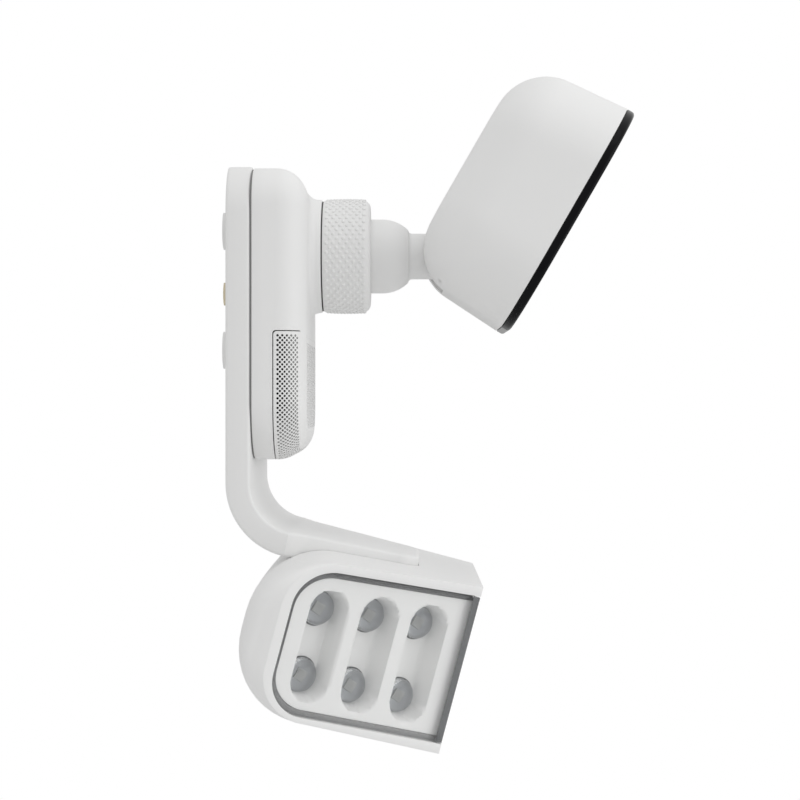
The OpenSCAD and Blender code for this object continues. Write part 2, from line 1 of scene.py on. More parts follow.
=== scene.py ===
import math
import bmesh
import bpy
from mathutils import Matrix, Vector


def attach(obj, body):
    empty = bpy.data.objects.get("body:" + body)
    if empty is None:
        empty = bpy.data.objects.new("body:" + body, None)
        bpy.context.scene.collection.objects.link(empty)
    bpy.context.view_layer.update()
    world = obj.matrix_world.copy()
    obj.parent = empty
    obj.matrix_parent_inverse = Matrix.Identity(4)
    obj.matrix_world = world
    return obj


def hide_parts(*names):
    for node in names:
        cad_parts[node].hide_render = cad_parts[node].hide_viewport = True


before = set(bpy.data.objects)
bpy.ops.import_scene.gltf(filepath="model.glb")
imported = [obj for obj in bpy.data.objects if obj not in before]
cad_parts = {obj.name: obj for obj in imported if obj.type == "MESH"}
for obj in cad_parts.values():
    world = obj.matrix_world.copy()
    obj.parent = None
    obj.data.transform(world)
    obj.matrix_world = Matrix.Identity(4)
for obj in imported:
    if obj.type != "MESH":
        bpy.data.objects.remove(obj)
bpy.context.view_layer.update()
mm = 0.001
print("frame loaded,", len(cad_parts), "nodes")


# small tools shared by the pieces; lengths are millimetres until addMesh

def addMesh(name, points, faces):
    mesh = bpy.data.meshes.new(name)
    mesh.from_pydata([[c * mm for c in p] for p in points], [], faces)
    piece = bpy.data.objects.new(name, mesh)
    bpy.context.scene.collection.objects.link(piece)
    return piece


def cleanUp(piece):
    soup = bmesh.new()
    soup.from_mesh(piece.data)
    bmesh.ops.remove_doubles(soup, verts=soup.verts, dist=0.000002)
    bmesh.ops.recalc_face_normals(soup, faces=soup.faces)
    soup.to_mesh(piece.data)
    soup.free()


def bakeMesh(piece):
    depsgraph = bpy.context.evaluated_depsgraph_get()
    baked = bpy.data.meshes.new_from_object(piece.evaluated_get(depsgraph))
    piece.modifiers.clear()
    old = piece.data
    piece.data = baked
    bpy.data.meshes.remove(old)
    baked.name = piece.name


def softShade(piece, angle=35):
    for face in piece.data.polygons:
        face.use_smooth = True
    piece.data.set_sharp_from_angle(angle=math.radians(angle))


def wrap(rows, cols, closed=True):
    # quads between rows of points, each row a loop
    faces = []
    last = cols if closed else cols - 1
    for i in range(rows - 1):
        for j in range(last):
            k = (j + 1) % cols
            faces.append((i * cols + j, i * cols + k, (i + 1) * cols + k, (i + 1) * cols + j))
    return faces


def loft(name, loops, capStart=True, capEnd=True):
    cols = len(loops[0])
    faces = wrap(len(loops), cols)
    if capStart:
        faces.append(tuple(range(cols)))
    if capEnd:
        faces.append(tuple((len(loops) - 1) * cols + j for j in range(cols)))
    piece = addMesh(name, [p for loop in loops for p in loop], faces)
    cleanUp(piece)
    return piece


def turnProfile(name, profile, centre, axis="y", steps=96):
    # profile is (distance in front, radius); it turns about an axis through centre
    points = []
    for along, radius in profile:
        for j in range(steps):
            a = 2 * math.pi * j / steps
            if axis == "y":
                points.append((centre[0] + radius * math.cos(a), centre[1] - along,
                               centre[2] + radius * math.sin(a)))
            else:
                points.append((centre[0] + along, centre[1] + radius * math.cos(a),
                               centre[2] + radius * math.sin(a)))
    piece = addMesh(name, points, wrap(len(profile), steps) + wrapEnds(len(profile), steps))
    cleanUp(piece)
    return piece


def wrapEnds(rows, cols):
    # joins the last ring back to the first, so a profile that is a closed loop makes a closed ring
    return [((rows - 1) * cols + j, (rows - 1) * cols + (j + 1) % cols, (j + 1) % cols, j)
            for j in range(cols)]


def arcPoints(cx, cy, r, a0, a1, n):
    return [(cx + r * math.cos(math.radians(a0 + (a1 - a0) * i / n)),
             cy + r * math.sin(math.radians(a0 + (a1 - a0) * i / n))) for i in range(n + 1)]


def roundOutline(halfX, zLow, zHigh, rLow, rHigh, arcSteps=16, sideSteps=6):
    # x and z round a box with rounded corners, from the right side's foot upwards
    corners = [arcPoints(halfX - rHigh, zHigh - rHigh, rHigh, 0, 90, arcSteps),
               arcPoints(rHigh - halfX, zHigh - rHigh, rHigh, 90, 180, arcSteps),
               arcPoints(rLow - halfX, zLow + rLow, rLow, 180, 270, arcSteps),
               arcPoints(halfX - rLow, zLow + rLow, rLow, 270, 360, arcSteps)]
    outline = []
    for i, corner in enumerate(corners):
        outline += corner
        start, end = corner[-1], corners[(i + 1) % 4][0]
        outline += [(start[0] + (end[0] - start[0]) * k / sideSteps,
                     start[1] + (end[1] - start[1]) * k / sideSteps)
                    for k in range(1, sideSteps)]
    return outline


def prism(name, outline, y0, y1):
    return loft(name, [[(x, y0, z) for x, z in outline], [(x, y1, z) for x, z in outline]])


def rodAlongY(name, x, z, radius, y0, y1, steps=40):
    return prism(name, [(x + radius * math.cos(2 * math.pi * j / steps),
                         z + radius * math.sin(2 * math.pi * j / steps))
                        for j in range(steps)], y0, y1)


def combine(piece, tool, how="DIFFERENCE"):
    cutter = piece.modifiers.new("cut", "BOOLEAN")
    cutter.operation = how
    cutter.solver = "MANIFOLD"
    cutter.object = tool
    bakeMesh(piece)
    bpy.data.objects.remove(tool)


def turned(points, degrees, shift):
    # tilts points about X and moves them, for pieces measured in a tilted part's own frame
    c, s = math.cos(math.radians(degrees)), math.sin(math.radians(degrees))
    return [(x + shift[0], y * c - z * s + shift[1], y * s + z * c + shift[2]) for x, y, z in points]


def turnPiece(piece, degrees, shift):
    spots = turned([tuple(v.co / mm) for v in piece.data.vertices], degrees, shift)
    for vertex, spot in zip(piece.data.vertices, spots):
        vertex.co = Vector(spot) * mm
    piece.data.update()


def carry(piece, body, slot, *nodes):
    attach(piece, body)
    if nodes:
        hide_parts(*nodes)


# finishes

def finish(name, colour, roughness, mottle=0.02, grain=900, relief=0.03, metallic=0.0, specular=0.5,
           patch=60):
    material = bpy.data.materials.new(name)
    material.use_nodes = True
    nodes, links = material.node_tree.nodes, material.node_tree.links
    shader = nodes["Principled BSDF"]
    shader.inputs["Metallic"].default_value = metallic
    shader.inputs["Specular IOR Level"].default_value = specular
    place = nodes.new("ShaderNodeTexCoord")
    cloud = nodes.new("ShaderNodeTexNoise")          # slow change of tone
    cloud.inputs["Scale"].default_value = patch
    cloud.inputs["Detail"].default_value = 3
    pores = nodes.new("ShaderNodeTexNoise")          # fine moulded grain
    pores.inputs["Scale"].default_value = grain
    pores.inputs["Detail"].default_value = 4
    links.new(place.outputs["Object"], cloud.inputs["Vector"])
    links.new(place.outputs["Object"], pores.inputs["Vector"])
    tone = nodes.new("ShaderNodeMix")
    tone.data_type = "RGBA"
    tone.inputs["A"].default_value = [c * (1 - mottle) for c in colour] + [1]
    tone.inputs["B"].default_value = [min(1, c * (1 + mottle)) for c in colour] + [1]
    links.new(cloud.outputs["Fac"], tone.inputs["Factor"])
    links.new(tone.outputs["Result"], shader.inputs["Base Color"])
    sheen = nodes.new("ShaderNodeMapRange")
    sheen.inputs["To Min"].default_value = max(0.01, roughness * 0.88)
    sheen.inputs["To Max"].default_value = min(1, roughness * 1.12)
    links.new(pores.outputs["Fac"], sheen.inputs["Value"])
    links.new(sheen.outputs["Result"], shader.inputs["Roughness"])
    bump = nodes.new("ShaderNodeBump")
    bump.inputs["Strength"].default_value = relief
    bump.inputs["Distance"].default_value = 0.0002
    links.new(pores.outputs["Fac"], bump.inputs["Height"])
    links.new(bump.outputs["Normal"], shader.inputs["Normal"])
    return material


def clearFinish(name, tint, roughness, alpha=None, ior=1.49):
    material = finish(name, tint, roughness, mottle=0.01, relief=0.004, grain=400)
    shader = material.node_tree.nodes["Principled BSDF"]
    shader.inputs["IOR"].default_value = ior
    if alpha is None:
        shader.inputs["Transmission Weight"].default_value = 1
    else:
        shader.inputs["Alpha"].default_value = alpha
    return material


whiteShell = finish("whiteShell", (0.83, 0.83, 0.825), 0.46, mottle=0.008, grain=1400, relief=0.035)
whiteMetal = finish("whiteMetal", (0.81, 0.81, 0.805), 0.5, mottle=0.008, grain=1100, relief=0.05)
whiteInside = finish("whiteInside", (0.86, 0.86, 0.85), 0.4, mottle=0.006, grain=1200, relief=0.02)
blackGlass = finish("blackGlass", (0.004, 0.004, 0.005), 0.12, mottle=0.2, grain=300, relief=0.002,
                    specular=0.1)
darkPlastic = finish("darkPlastic", (0.03, 0.03, 0.033), 0.42, mottle=0.1, grain=1500, relief=0.08)
darkRubber = finish("darkRubber", (0.035, 0.035, 0.036), 0.75, mottle=0.12, grain=1800, relief=0.1)
beigeRubber = finish("beigeRubber", (0.7, 0.62, 0.45), 0.65, mottle=0.06, grain=1300, relief=0.08)
blackCloth = finish("blackCloth", (0.025, 0.025, 0.026), 0.95, mottle=0.3, grain=2600, relief=0.4)
paperCone = finish("paperCone", (0.05, 0.048, 0.045), 0.9, mottle=0.25, grain=1600, relief=0.25)
platedSteel = finish("platedSteel", (0.62, 0.63, 0.65), 0.3, mottle=0.05, grain=2000, relief=0.03,
                     metallic=1.0)
satinAluminium = finish("satinAluminium", (0.75, 0.76, 0.77), 0.38, mottle=0.03, grain=2400, relief=0.05,
                        metallic=1.0)
greenBoard = finish("greenBoard", (0.03, 0.14, 0.075), 0.35, mottle=0.25, grain=900, relief=0.15, patch=500)
whiteBoard = finish("whiteBoard", (0.84, 0.84, 0.81), 0.4, mottle=0.03, grain=900, relief=0.05)
lensHolder = finish("lensHolder", (0.4, 0.402, 0.405), 0.4, mottle=0.1, grain=1500, relief=0.05)
lampChip = finish("lampChip", (0.46, 0.458, 0.44), 0.5, mottle=0.1, grain=3000, relief=0.1)
paleGasket = finish("paleGasket", (0.22, 0.22, 0.22), 0.7, mottle=0.05, grain=1500, relief=0.08)


def paintedShadeFinish(name, low, high, zLow, zHigh, roughness):
    # painted shade: tone that changes evenly with height
    material = finish(name, low, roughness, mottle=0.01)
    nodes, links = material.node_tree.nodes, material.node_tree.links
    place = nodes.new("ShaderNodeTexCoord")
    split = nodes.new("ShaderNodeSeparateXYZ")
    links.new(place.outputs["Object"], split.inputs["Vector"])
    rise = nodes.new("ShaderNodeMapRange")
    rise.inputs["From Min"].default_value = zLow * mm
    rise.inputs["From Max"].default_value = zHigh * mm
    links.new(split.outputs["Z"], rise.inputs["Value"])
    tone = nodes.new("ShaderNodeMix")
    tone.data_type = "RGBA"
    tone.inputs["A"].default_value = (*low, 1)
    tone.inputs["B"].default_value = (*high, 1)
    links.new(rise.outputs["Result"], tone.inputs["Factor"])
    links.new(tone.outputs["Result"], nodes["Principled BSDF"].inputs["Base Color"])
    return material


# painted dark tone for the band under the lamp cover's edge, standing in for refraction along the clear cover's edge;
# lighter at the bottom, darker towards the top
sealShade = paintedShadeFinish("sealShade", (0.3, 0.3, 0.3), (0.07, 0.07, 0.072), -125, -100, 0.3)
coverClear = clearFinish("coverClear", (0.9, 0.92, 0.93), 0.03, alpha=0.06)
# painted dark grey for the clear cover's rim faces and front corner bars, standing in for refraction along the
# cover's edges
coverEdge = clearFinish("coverEdge", (0.12, 0.125, 0.13), 0.08, alpha=0.75)
domeClear = clearFinish("domeClear", (0.86, 0.88, 0.9), 0.04)
lensCoated = clearFinish("lensCoated", (0.25, 0.3, 0.45), 0.02)
bluePipe = finish("bluePipe", (0.3, 0.6, 0.8), 0.25, mottle=0.05, grain=700, relief=0.02)
print("finishes ready")


def dress(piece, *materials):
    piece.data.materials.clear()
    for material in materials:
        piece.data.materials.append(material)


# wall bracket: a flat plate bent forward into the lamp's tongue

bracketSize = {"back": -1.4, "thick": 7.2, "halfWidth": 37, "top": 37.4, "topCorner": 15, "bendZ": -57,
               "bendRadius": 22, "slope": 13, "tongue": 39.7, "waist": 31, "tipHalf": 20.5, "tipCorner": 7,
               "edge": 1.0, "screwX": 26, "screwZ": 17.75, "screwHole": 2.4, "screwSink": 4.8,
               "cableHole": 5.5,
               "baseScrewHole": 1.65, "baseScrewSink": 3.05, "baseScrewSinkEnd": -3.4}


def bracketStations():
    # (y, z, angle of the path, half width, inset of the faces) from the top edge to the tongue's tip
    b = bracketSize
    rows = []
    e = b["edge"]
    for k in range(25):
        z = b["top"] - b["topCorner"] * (1 - math.cos(math.radians(90 * k / 24)))
        fromTop = b["top"] - z
        inset = e - math.sqrt(max(0, e * e - (e - fromTop) ** 2)) if fromTop < e else 0
        half = b["halfWidth"] - b["topCorner"] + math.sqrt(max(0,
                b["topCorner"] ** 2 - (b["topCorner"] - fromTop) ** 2))
        rows.append((b["back"], z, 0, half, inset))
    for k in range(1, 8):
        rows.append((b["back"], b["top"] - b["topCorner"] + (b["bendZ"] - b["top"] + b["topCorner"]) * k / 8,
                     0, b["halfWidth"], 0))
    yc = b["back"] - b["bendRadius"]
    turn = 90 - b["slope"]
    for k in range(33):
        a = -turn * k / 32
        rows.append((yc + b["bendRadius"] * math.cos(math.radians(a)),
                     b["bendZ"] + b["bendRadius"] * math.sin(math.radians(a)), a,
                     b["halfWidth"], 0))
    y0, z0 = rows[-1][0], rows[-1][1]
    dy, dz = -math.cos(math.radians(b["slope"])), -math.sin(math.radians(b["slope"]))
    lengths = [1.5, 3, 4.5, 6, 8, 12, 17, 22, 27, b["tongue"] - b["tipCorner"]]
    lengths += [b["tongue"] - b["tipCorner"] * (1 - math.sin(math.radians(90 * k / 14)))
                for k in range(1, 15)]
    for s in lengths:
        if s <= 6:
            t = s / 6
            half = b["halfWidth"] + (b["waist"] - b["halfWidth"]) * t * t * (3 - 2 * t)
        elif s <= b["tongue"] - b["tipCorner"]:
            half = b["waist"] + (b["tipHalf"] - b["waist"]) * (s - 6) / (b["tongue"] - b["tipCorner"] - 6)
        else:
            over = s - b["tongue"] + b["tipCorner"]
            half = b["tipHalf"] - b["tipCorner"] + math.sqrt(max(0, b["tipCorner"] ** 2 - over ** 2))
        left = b["tongue"] - s
        inset = e - math.sqrt(max(0, e * e - (e - left) ** 2)) if left < e else 0
        rows.append((y0 + dy * s, z0 + dz * s, -turn, half, inset))
    return rows


def buildBracket():
    b = bracketSize
    loops = []
    for y, z, angle, half, inset in bracketStations():
        corner = max(b["edge"] - inset, 0.02)
        across = half - inset
        thick = b["thick"]
        outline = []
        for cx, ct, a0 in ((across - corner, thick - inset - corner, 0),
                           (corner - across, thick - inset - corner, 90),
                           (corner - across, inset + corner, 180), (across - corner, inset + corner, 270)):
            outline += arcPoints(cx, ct, corner, a0, a0 + 90, 4)
        ny, nz = -math.cos(math.radians(angle)), -math.sin(math.radians(angle))
        loops.append([(x, y + ny * t, z + nz * t) for x, t in outline])
    bracket = loft("bracket", loops)
    for x in (-b["screwX"], b["screwX"]):
        for z in (-b["screwZ"], b["screwZ"]):
            combine(bracket, rodAlongY("hole", x, z, b["screwHole"], 1, -20))
            combine(bracket, rodAlongY("sink", x, z, b["screwSink"], -5.4, -20))
    combine(bracket, rodAlongY("hole", 0, 0, b["cableHole"], 1, -20))
    for x, z in ((28, 27), (-28, 27), (32, -29), (-32, -29)):
        combine(bracket, rodAlongY("hole", x, z, b["baseScrewHole"], 1, -20))
        combine(bracket, rodAlongY("hole", x, z, b["baseScrewSink"], 1, b["baseScrewSinkEnd"]))
    softShade(bracket, 30)
    dress(bracket, whiteMetal)
    carry(bracket, "base", "white_metal", "wall_bracket")


buildBracket()
print("bracket bent")


# speaker base: a rounded box with the collar's boss on its front

baseSize = {"halfWidth": 37, "low": -50.5, "high": 36.6, "back": -9.0, "front": -24.9, "edge": 9,
            "rHigh": 12, "rLow": 17,
            "stemZ": 12.2, "bossRadius": 17.6, "bossFront": -28.5, "bossHole": 13.4, "fillet": 2.6,
            "wall": 2.2,
            "seamEdge": 0.5, "grilleTop": -12.4, "grilleBack": -15.5, "grilleStep": 1.6, "seam": 0.3}


def insideDistance(x, z):
    # distance inwards from the base's outline
    b = baseSize
    middle = (b["low"] + b["high"]) / 2
    r = b["rHigh"] if z > middle else b["rLow"]
    qx = abs(x) - (b["halfWidth"] - r)
    qz = abs(z - middle) - ((b["high"] - b["low"]) / 2 - r)
    return r - min(max(qx, qz), 0) - math.hypot(max(qx, 0), max(qz, 0))


def radiusAt(a, distance):
    low, high = 0.0, 90.0
    for _ in range(40):
        mid = (low + high) / 2
        if insideDistance(mid * math.cos(a), baseSize["stemZ"] + mid * math.sin(a)) > distance:
            low = mid
        else:
            high = mid
    return (low + high) / 2


def frontDepth(distance):
    b = baseSize
    if distance >= b["edge"]:
        return b["front"]
    return b["front"] + b["edge"] - math.sqrt(max(0, b["edge"] ** 2 - (b["edge"] - distance) ** 2))


def buildBaseShell(steps=288):
    b = baseSize
    flatSteps, edgeSteps = 14, 16
    columns = []
    for j in range(steps):
        a = 2 * math.pi * j / steps
        ca, sa = math.cos(a), math.sin(a)
        rimAt = b["bossRadius"] + b["fillet"] * 1.25
        d = insideDistance(rimAt * ca, b["stemZ"] + rimAt * sa)
        phi = math.acos(max(0, (b["edge"] - d) / b["edge"])) if d < b["edge"] else math.pi / 2
        rFlat = radiusAt(a, b["edge"] * (1 - math.cos(phi))) if d >= b["edge"] else rimAt
        column = [(b["bossHole"], b["front"] + b["wall"] + 1.5), (b["bossHole"], b["bossFront"]),
                  (b["bossRadius"] - 0.5, b["bossFront"]),
                  (b["bossRadius"] - 0.15, b["bossFront"] + 0.15), (b["bossRadius"], b["bossFront"] + 0.5)]
        for k in range(flatSteps + 1):
            t = (k / flatSteps) ** 1.7
            r = b["bossRadius"] + (rFlat - b["bossRadius"]) * t
            y = frontDepth(insideDistance(r * ca, b["stemZ"] + r * sa))
            out = r - b["bossRadius"]
            if out < b["fillet"]:
                y -= b["fillet"] - math.sqrt(max(0, b["fillet"] ** 2 - (b["fillet"] - out) ** 2))
            column.append((r, y))
        for k in range(1, edgeSteps + 1):
            p = phi * (1 - k / edgeSteps)
            dist = b["edge"] * (1 - math.cos(p))
            column.append((radiusAt(a, dist), b["front"] + b["edge"] * (1 - math.sin(p))))
        outer = column[-1][0]
        column += [(outer, -12.5), (outer, b["back"] - b["seamEdge"]), (radiusAt(a, 0.15), b["back"] - 0.15),
                   (radiusAt(a, b["seamEdge"]), b["back"])]
        inner = radiusAt(a, b["wall"])
        column += [(inner, b["back"]), (inner, b["front"] + b["edge"])]
        for k in range(1, 7):
            p = math.radians(90 * k / 6)
            rr = b["edge"] - b["wall"]
            column.append((radiusAt(a, b["wall"] + rr * (1 - math.cos(p))),
                           b["front"] + b["wall"] + rr * (1 - math.sin(p))))
        column.append((b["bossRadius"] - 1, b["front"] + b["wall"]))
        columns.append([(r * ca, y, b["stemZ"] + r * sa) for r, y in column])
    rows = len(columns[0])
    points = [columns[j][i] for i in range(rows) for j in range(steps)]
    shell = addMesh("baseShell", points, wrap(rows, steps) + wrapEnds(rows, steps))
    cleanUp(shell)
    return shell


def grilleOutline(grow):
    # y and z of the grille's side edge; grow opens the seam round it
    b = baseSize
    back, top, step = b["grilleBack"] + grow, b["grilleTop"] + grow, b["grilleStep"]
    edge = arcPoints(back - 1, top - 1, 1, 0, 90, 6)
    return [(back, -70)] + edge + [(b["front"] + step + grow, top),
                                   (b["front"] - 0.2 + grow, top - step - 0.2),
                                   (b["front"] - 6, top - step - 0.2), (b["front"] - 6, -70)]


def grilleBlock(name, grow):
    outline = grilleOutline(grow)
    return loft(name, [[(-45, y, z) for y, z in outline], [(45, y, z) for y, z in outline]])


def baseLoops(inset, back):
    b = baseSize
    loops = []
    half, low, high = b["halfWidth"] - inset, b["low"] + inset, b["high"] - inset
    edge, front = b["edge"] - inset, b["front"] + inset
    loops.append([(x, back, z) for x, z in roundOutline(half, low, high, b["rLow"] - inset,
                                                        b["rHigh"] - inset, 24, 12)])
    for k in range(17):
        p = math.radians(90 * k / 16)
        d = edge * (1 - math.cos(p))
        loops.append([(x, front + edge * (1 - math.sin(p)), z) for x, z in
                      roundOutline(half - d, low + d, high - d, b["rLow"] - inset - d,
                                   b["rHigh"] - inset - d, 24, 12)])
    return loops


def outlineAt(q, inset):
    # point of the base's outline at length q below the grille's top, on the right side, moved in by inset
    b = baseSize
    straight = b["grilleTop"] - (b["low"] + b["rLow"])
    if q < straight:
        return b["halfWidth"] - inset, b["grilleTop"] - q, 1.0, 0.0
    a = (q - straight) / b["rLow"]
    if a < math.pi / 2:
        r = b["rLow"] - inset
        return (b["halfWidth"] - b["rLow"] + r * math.cos(a), b["low"] + b["rLow"] - r * math.sin(a),
                math.cos(a), -math.sin(a))
    rest = q - straight - b["rLow"] * math.pi / 2
    return b["halfWidth"] - b["rLow"] - rest, b["low"] + inset, 0.0, -1.0


grilleSize = {"pitch": 1.42, "hole": 0.39, "margin": 1.25, "plainFrom": 0.74, "sides": 8, "deep": 3.2}


def grilleSpots():
    # centres and directions of the holes, in a lattice with one more hole in the middle of each cell
    b, g = baseSize, grilleSize
    spots = []
    straight = b["grilleTop"] - (b["low"] + b["rLow"])
    whole = straight + b["rLow"] * math.pi / 2 + (b["halfWidth"] - b["rLow"])
    half = g["pitch"] / 2
    lead = b["grilleBack"] - (b["front"] + b["edge"])
    band = lead + b["edge"] * math.radians(78)
    rows = int((whole - g["margin"]) / half)
    for i in range(rows + 1):
        q = g["margin"] + i * half
        for j in range(int((band - g["margin"]) / half) + 1):
            if (i + j) % 2:
                continue
            w = g["margin"] + j * half
            p = max(0, (w - lead) / b["edge"])
            d = b["edge"] * (1 - math.cos(p))
            if straight < q < whole - (b["halfWidth"] - b["rLow"]) and p > 0:
                if (b["rLow"] - d) / b["rLow"] < 0.62 and (i // 2) % 2:     # thin out where the corner tightens
                    continue
            if math.sin(p) > g["plainFrom"]:         # the tightest part of the front edge stays plain
                continue
            y = b["grilleBack"] - w if w < lead else b["front"] + b["edge"] * (1 - math.sin(p))
            if q < g["margin"] + b["grilleStep"] and y < b["front"] + b["grilleStep"] + 0.8:
                continue
            x, z, nx, nz = outlineAt(q, d)
            face = (nx * math.cos(p), -math.sin(p), nz * math.cos(p))
            for side in (1, -1):
                if side < 0 and x < 0.2:
                    continue
                spots.append(((side * x, y, z), (side * face[0], face[1], face[2])))
    inner = b["edge"] + 0.2
    for i in range(-60, 61):
        for j in range(-60, 61):
            if (i + j) % 2:
                continue
            x, z = i * half, -28 + j * half
            if z < b["grilleTop"] - b["grilleStep"] - g["margin"] - 0.3 and insideDistance(x, z) > inner:
                spots.append(((x, b["front"], z), (0, -1, 0)))
    return spots


def pointCloud(name, spots, sink=0.0):
    cloud = addMesh(name, [[p - f * sink for p, f in zip(place, face)] for place, face in spots], [])
    facing = cloud.data.attributes.new("facing", "FLOAT_VECTOR", "POINT")
    for i, (_, face) in enumerate(spots):
        facing.data[i].vector = face
    return cloud


def startTree(name, sockets):
    tree = bpy.data.node_groups.new(name, "GeometryNodeTree")
    tree.interface.new_socket("Geometry", in_out="INPUT", socket_type="NodeSocketGeometry")
    for label, kind in sockets:
        tree.interface.new_socket(label, in_out="INPUT", socket_type=kind)
    tree.interface.new_socket("Geometry", in_out="OUTPUT", socket_type="NodeSocketGeometry")
    return tree, tree.nodes.new("NodeGroupInput"), tree.nodes.new("NodeGroupOutput")


def placeCopies(tree, given, copySocket):
    # copies stand on the points of the given object, turned so that their Z follows "facing"
    nodes, links = tree.nodes, tree.links
    points = nodes.new("GeometryNodeObjectInfo")
    links.new(given.outputs["Points"], points.inputs["Object"])
    facing = nodes.new("GeometryNodeInputNamedAttribute")
    facing.data_type = "FLOAT_VECTOR"
    facing.inputs["Name"].default_value = "facing"
    align = nodes.new("FunctionNodeAlignRotationToVector")
    align.axis = "Z"
    links.new(facing.outputs["Attribute"], align.inputs["Vector"])
    copies = nodes.new("GeometryNodeInstanceOnPoints")
    links.new(points.outputs["Geometry"], copies.inputs["Points"])
    links.new(copySocket, copies.inputs["Instance"])
    links.new(align.outputs["Rotation"], copies.inputs["Rotation"])
    return copies.outputs["Instances"]


def endTree(tree, given, out, geometry):
    real = tree.nodes.new("GeometryNodeRealizeInstances")
    cover = tree.nodes.new("GeometryNodeSetMaterial")
    tree.links.new(geometry, real.inputs["Geometry"])
    tree.links.new(real.outputs["Geometry"], cover.inputs["Geometry"])
    tree.links.new(given.outputs["Material"], cover.inputs["Material"])
    tree.links.new(cover.outputs["Geometry"], out.inputs["Geometry"])


def perforateTree():
    tree, given, out = startTree("perforate", [
        ("Points", "NodeSocketObject"), ("Hole Radius", "NodeSocketFloat"), ("Hole Depth", "NodeSocketFloat"),
        ("Hole Sides", "NodeSocketInt"), ("Material", "NodeSocketMaterial")])
    drill = tree.nodes.new("GeometryNodeMeshCylinder")
    tree.links.new(given.outputs["Hole Sides"], drill.inputs["Vertices"])
    tree.links.new(given.outputs["Hole Radius"], drill.inputs["Radius"])
    tree.links.new(given.outputs["Hole Depth"], drill.inputs["Depth"])
    drills = tree.nodes.new("GeometryNodeRealizeInstances")
    tree.links.new(placeCopies(tree, given, drill.outputs["Mesh"]), drills.inputs["Geometry"])
    cut = tree.nodes.new("GeometryNodeMeshBoolean")
    cut.operation = "DIFFERENCE"
    cut.solver = "MANIFOLD"
    tree.links.new(given.outputs["Geometry"], cut.inputs["Mesh 1"])
    tree.links.new(drills.outputs["Geometry"], cut.inputs["Mesh 2"])
    endTree(tree, given, out, cut.outputs["Mesh"])
    return tree


def plantTree():
    tree, given, out = startTree("plantCopies", [
        ("Points", "NodeSocketObject"), ("Copy", "NodeSocketObject"), ("Material", "NodeSocketMaterial")])
    single = tree.nodes.new("GeometryNodeObjectInfo")
    tree.links.new(given.outputs["Copy"], single.inputs["Object"])
    join = tree.nodes.new("GeometryNodeJoinGeometry")
    tree.links.new(given.outputs["Geometry"], join.inputs["Geometry"])
    tree.links.new(placeCopies(tree, given, single.outputs["Geometry"]), join.inputs["Geometry"])
    endTree(tree, given, out, join.outputs["Geometry"])
    return tree


perforate = perforateTree()
plantCopies = plantTree()


def runTree(piece, tree, values):
    modifier = piece.modifiers.new(tree.name, "NODES")
    modifier.node_group = tree
    for item in tree.interface.items_tree:
        if item.item_type == "SOCKET" and item.in_out == "INPUT" and item.name in values:
            modifier[item.identifier] = values[item.name]
    bakeMesh(piece)
    for value in values.values():
        if isinstance(value, bpy.types.Object):
            bpy.data.objects.remove(value)


def buildBase():
    shell = buildBaseShell()
    combine(shell, grilleBlock("cut", baseSize["seam"]))
    softShade(shell, 32)
    dress(shell, whiteShell)
    carry(shell, "base", "white_plastic", "base_housing")
    print("base shell made")
    panel = loft("grillePanel", baseLoops(0, baseSize["grilleBack"] + 3))
    combine(panel, loft("cut", baseLoops(baseSize["wall"] * 0.7, baseSize["grilleBack"] + 6)))
    combine(panel, grilleBlock("cut", 0), "INTERSECT")
    spots = grilleSpots()
    g = grilleSize
    runTree(panel, perforate, {"Points": pointCloud("spots", spots, g["deep"] / 2 - 0.5),
                               "Hole Radius": g["hole"] * mm,
                               "Hole Depth": g["deep"] * mm, "Hole Sides": g["sides"],
                               "Material": whiteShell})
    softShade(panel, 32)
    carry(panel, "base", "white_plastic", "speaker_grille")
    print("grille drilled,", len(spots), "holes,", len(panel.data.polygons), "faces")


buildBase()


# collar ring with raised dots

collarSize = {"back": -28.8, "length": 14.7, "radius": 17.6, "swell": 0.3, "frontRound": 2.6, "bore": 15.3,
              "lip": 11.85, "sealRadius": 17.05,
              "dotRadius": 0.62, "dotHeight": 0.34, "dotRows": 6, "dotPitch": 2.05, "dotsRound": 76}


def collarRadius(along):
    c = collarSize
    u = 2 * along / c["length"] - 1
    return c["radius"] - c["swell"] * u * u


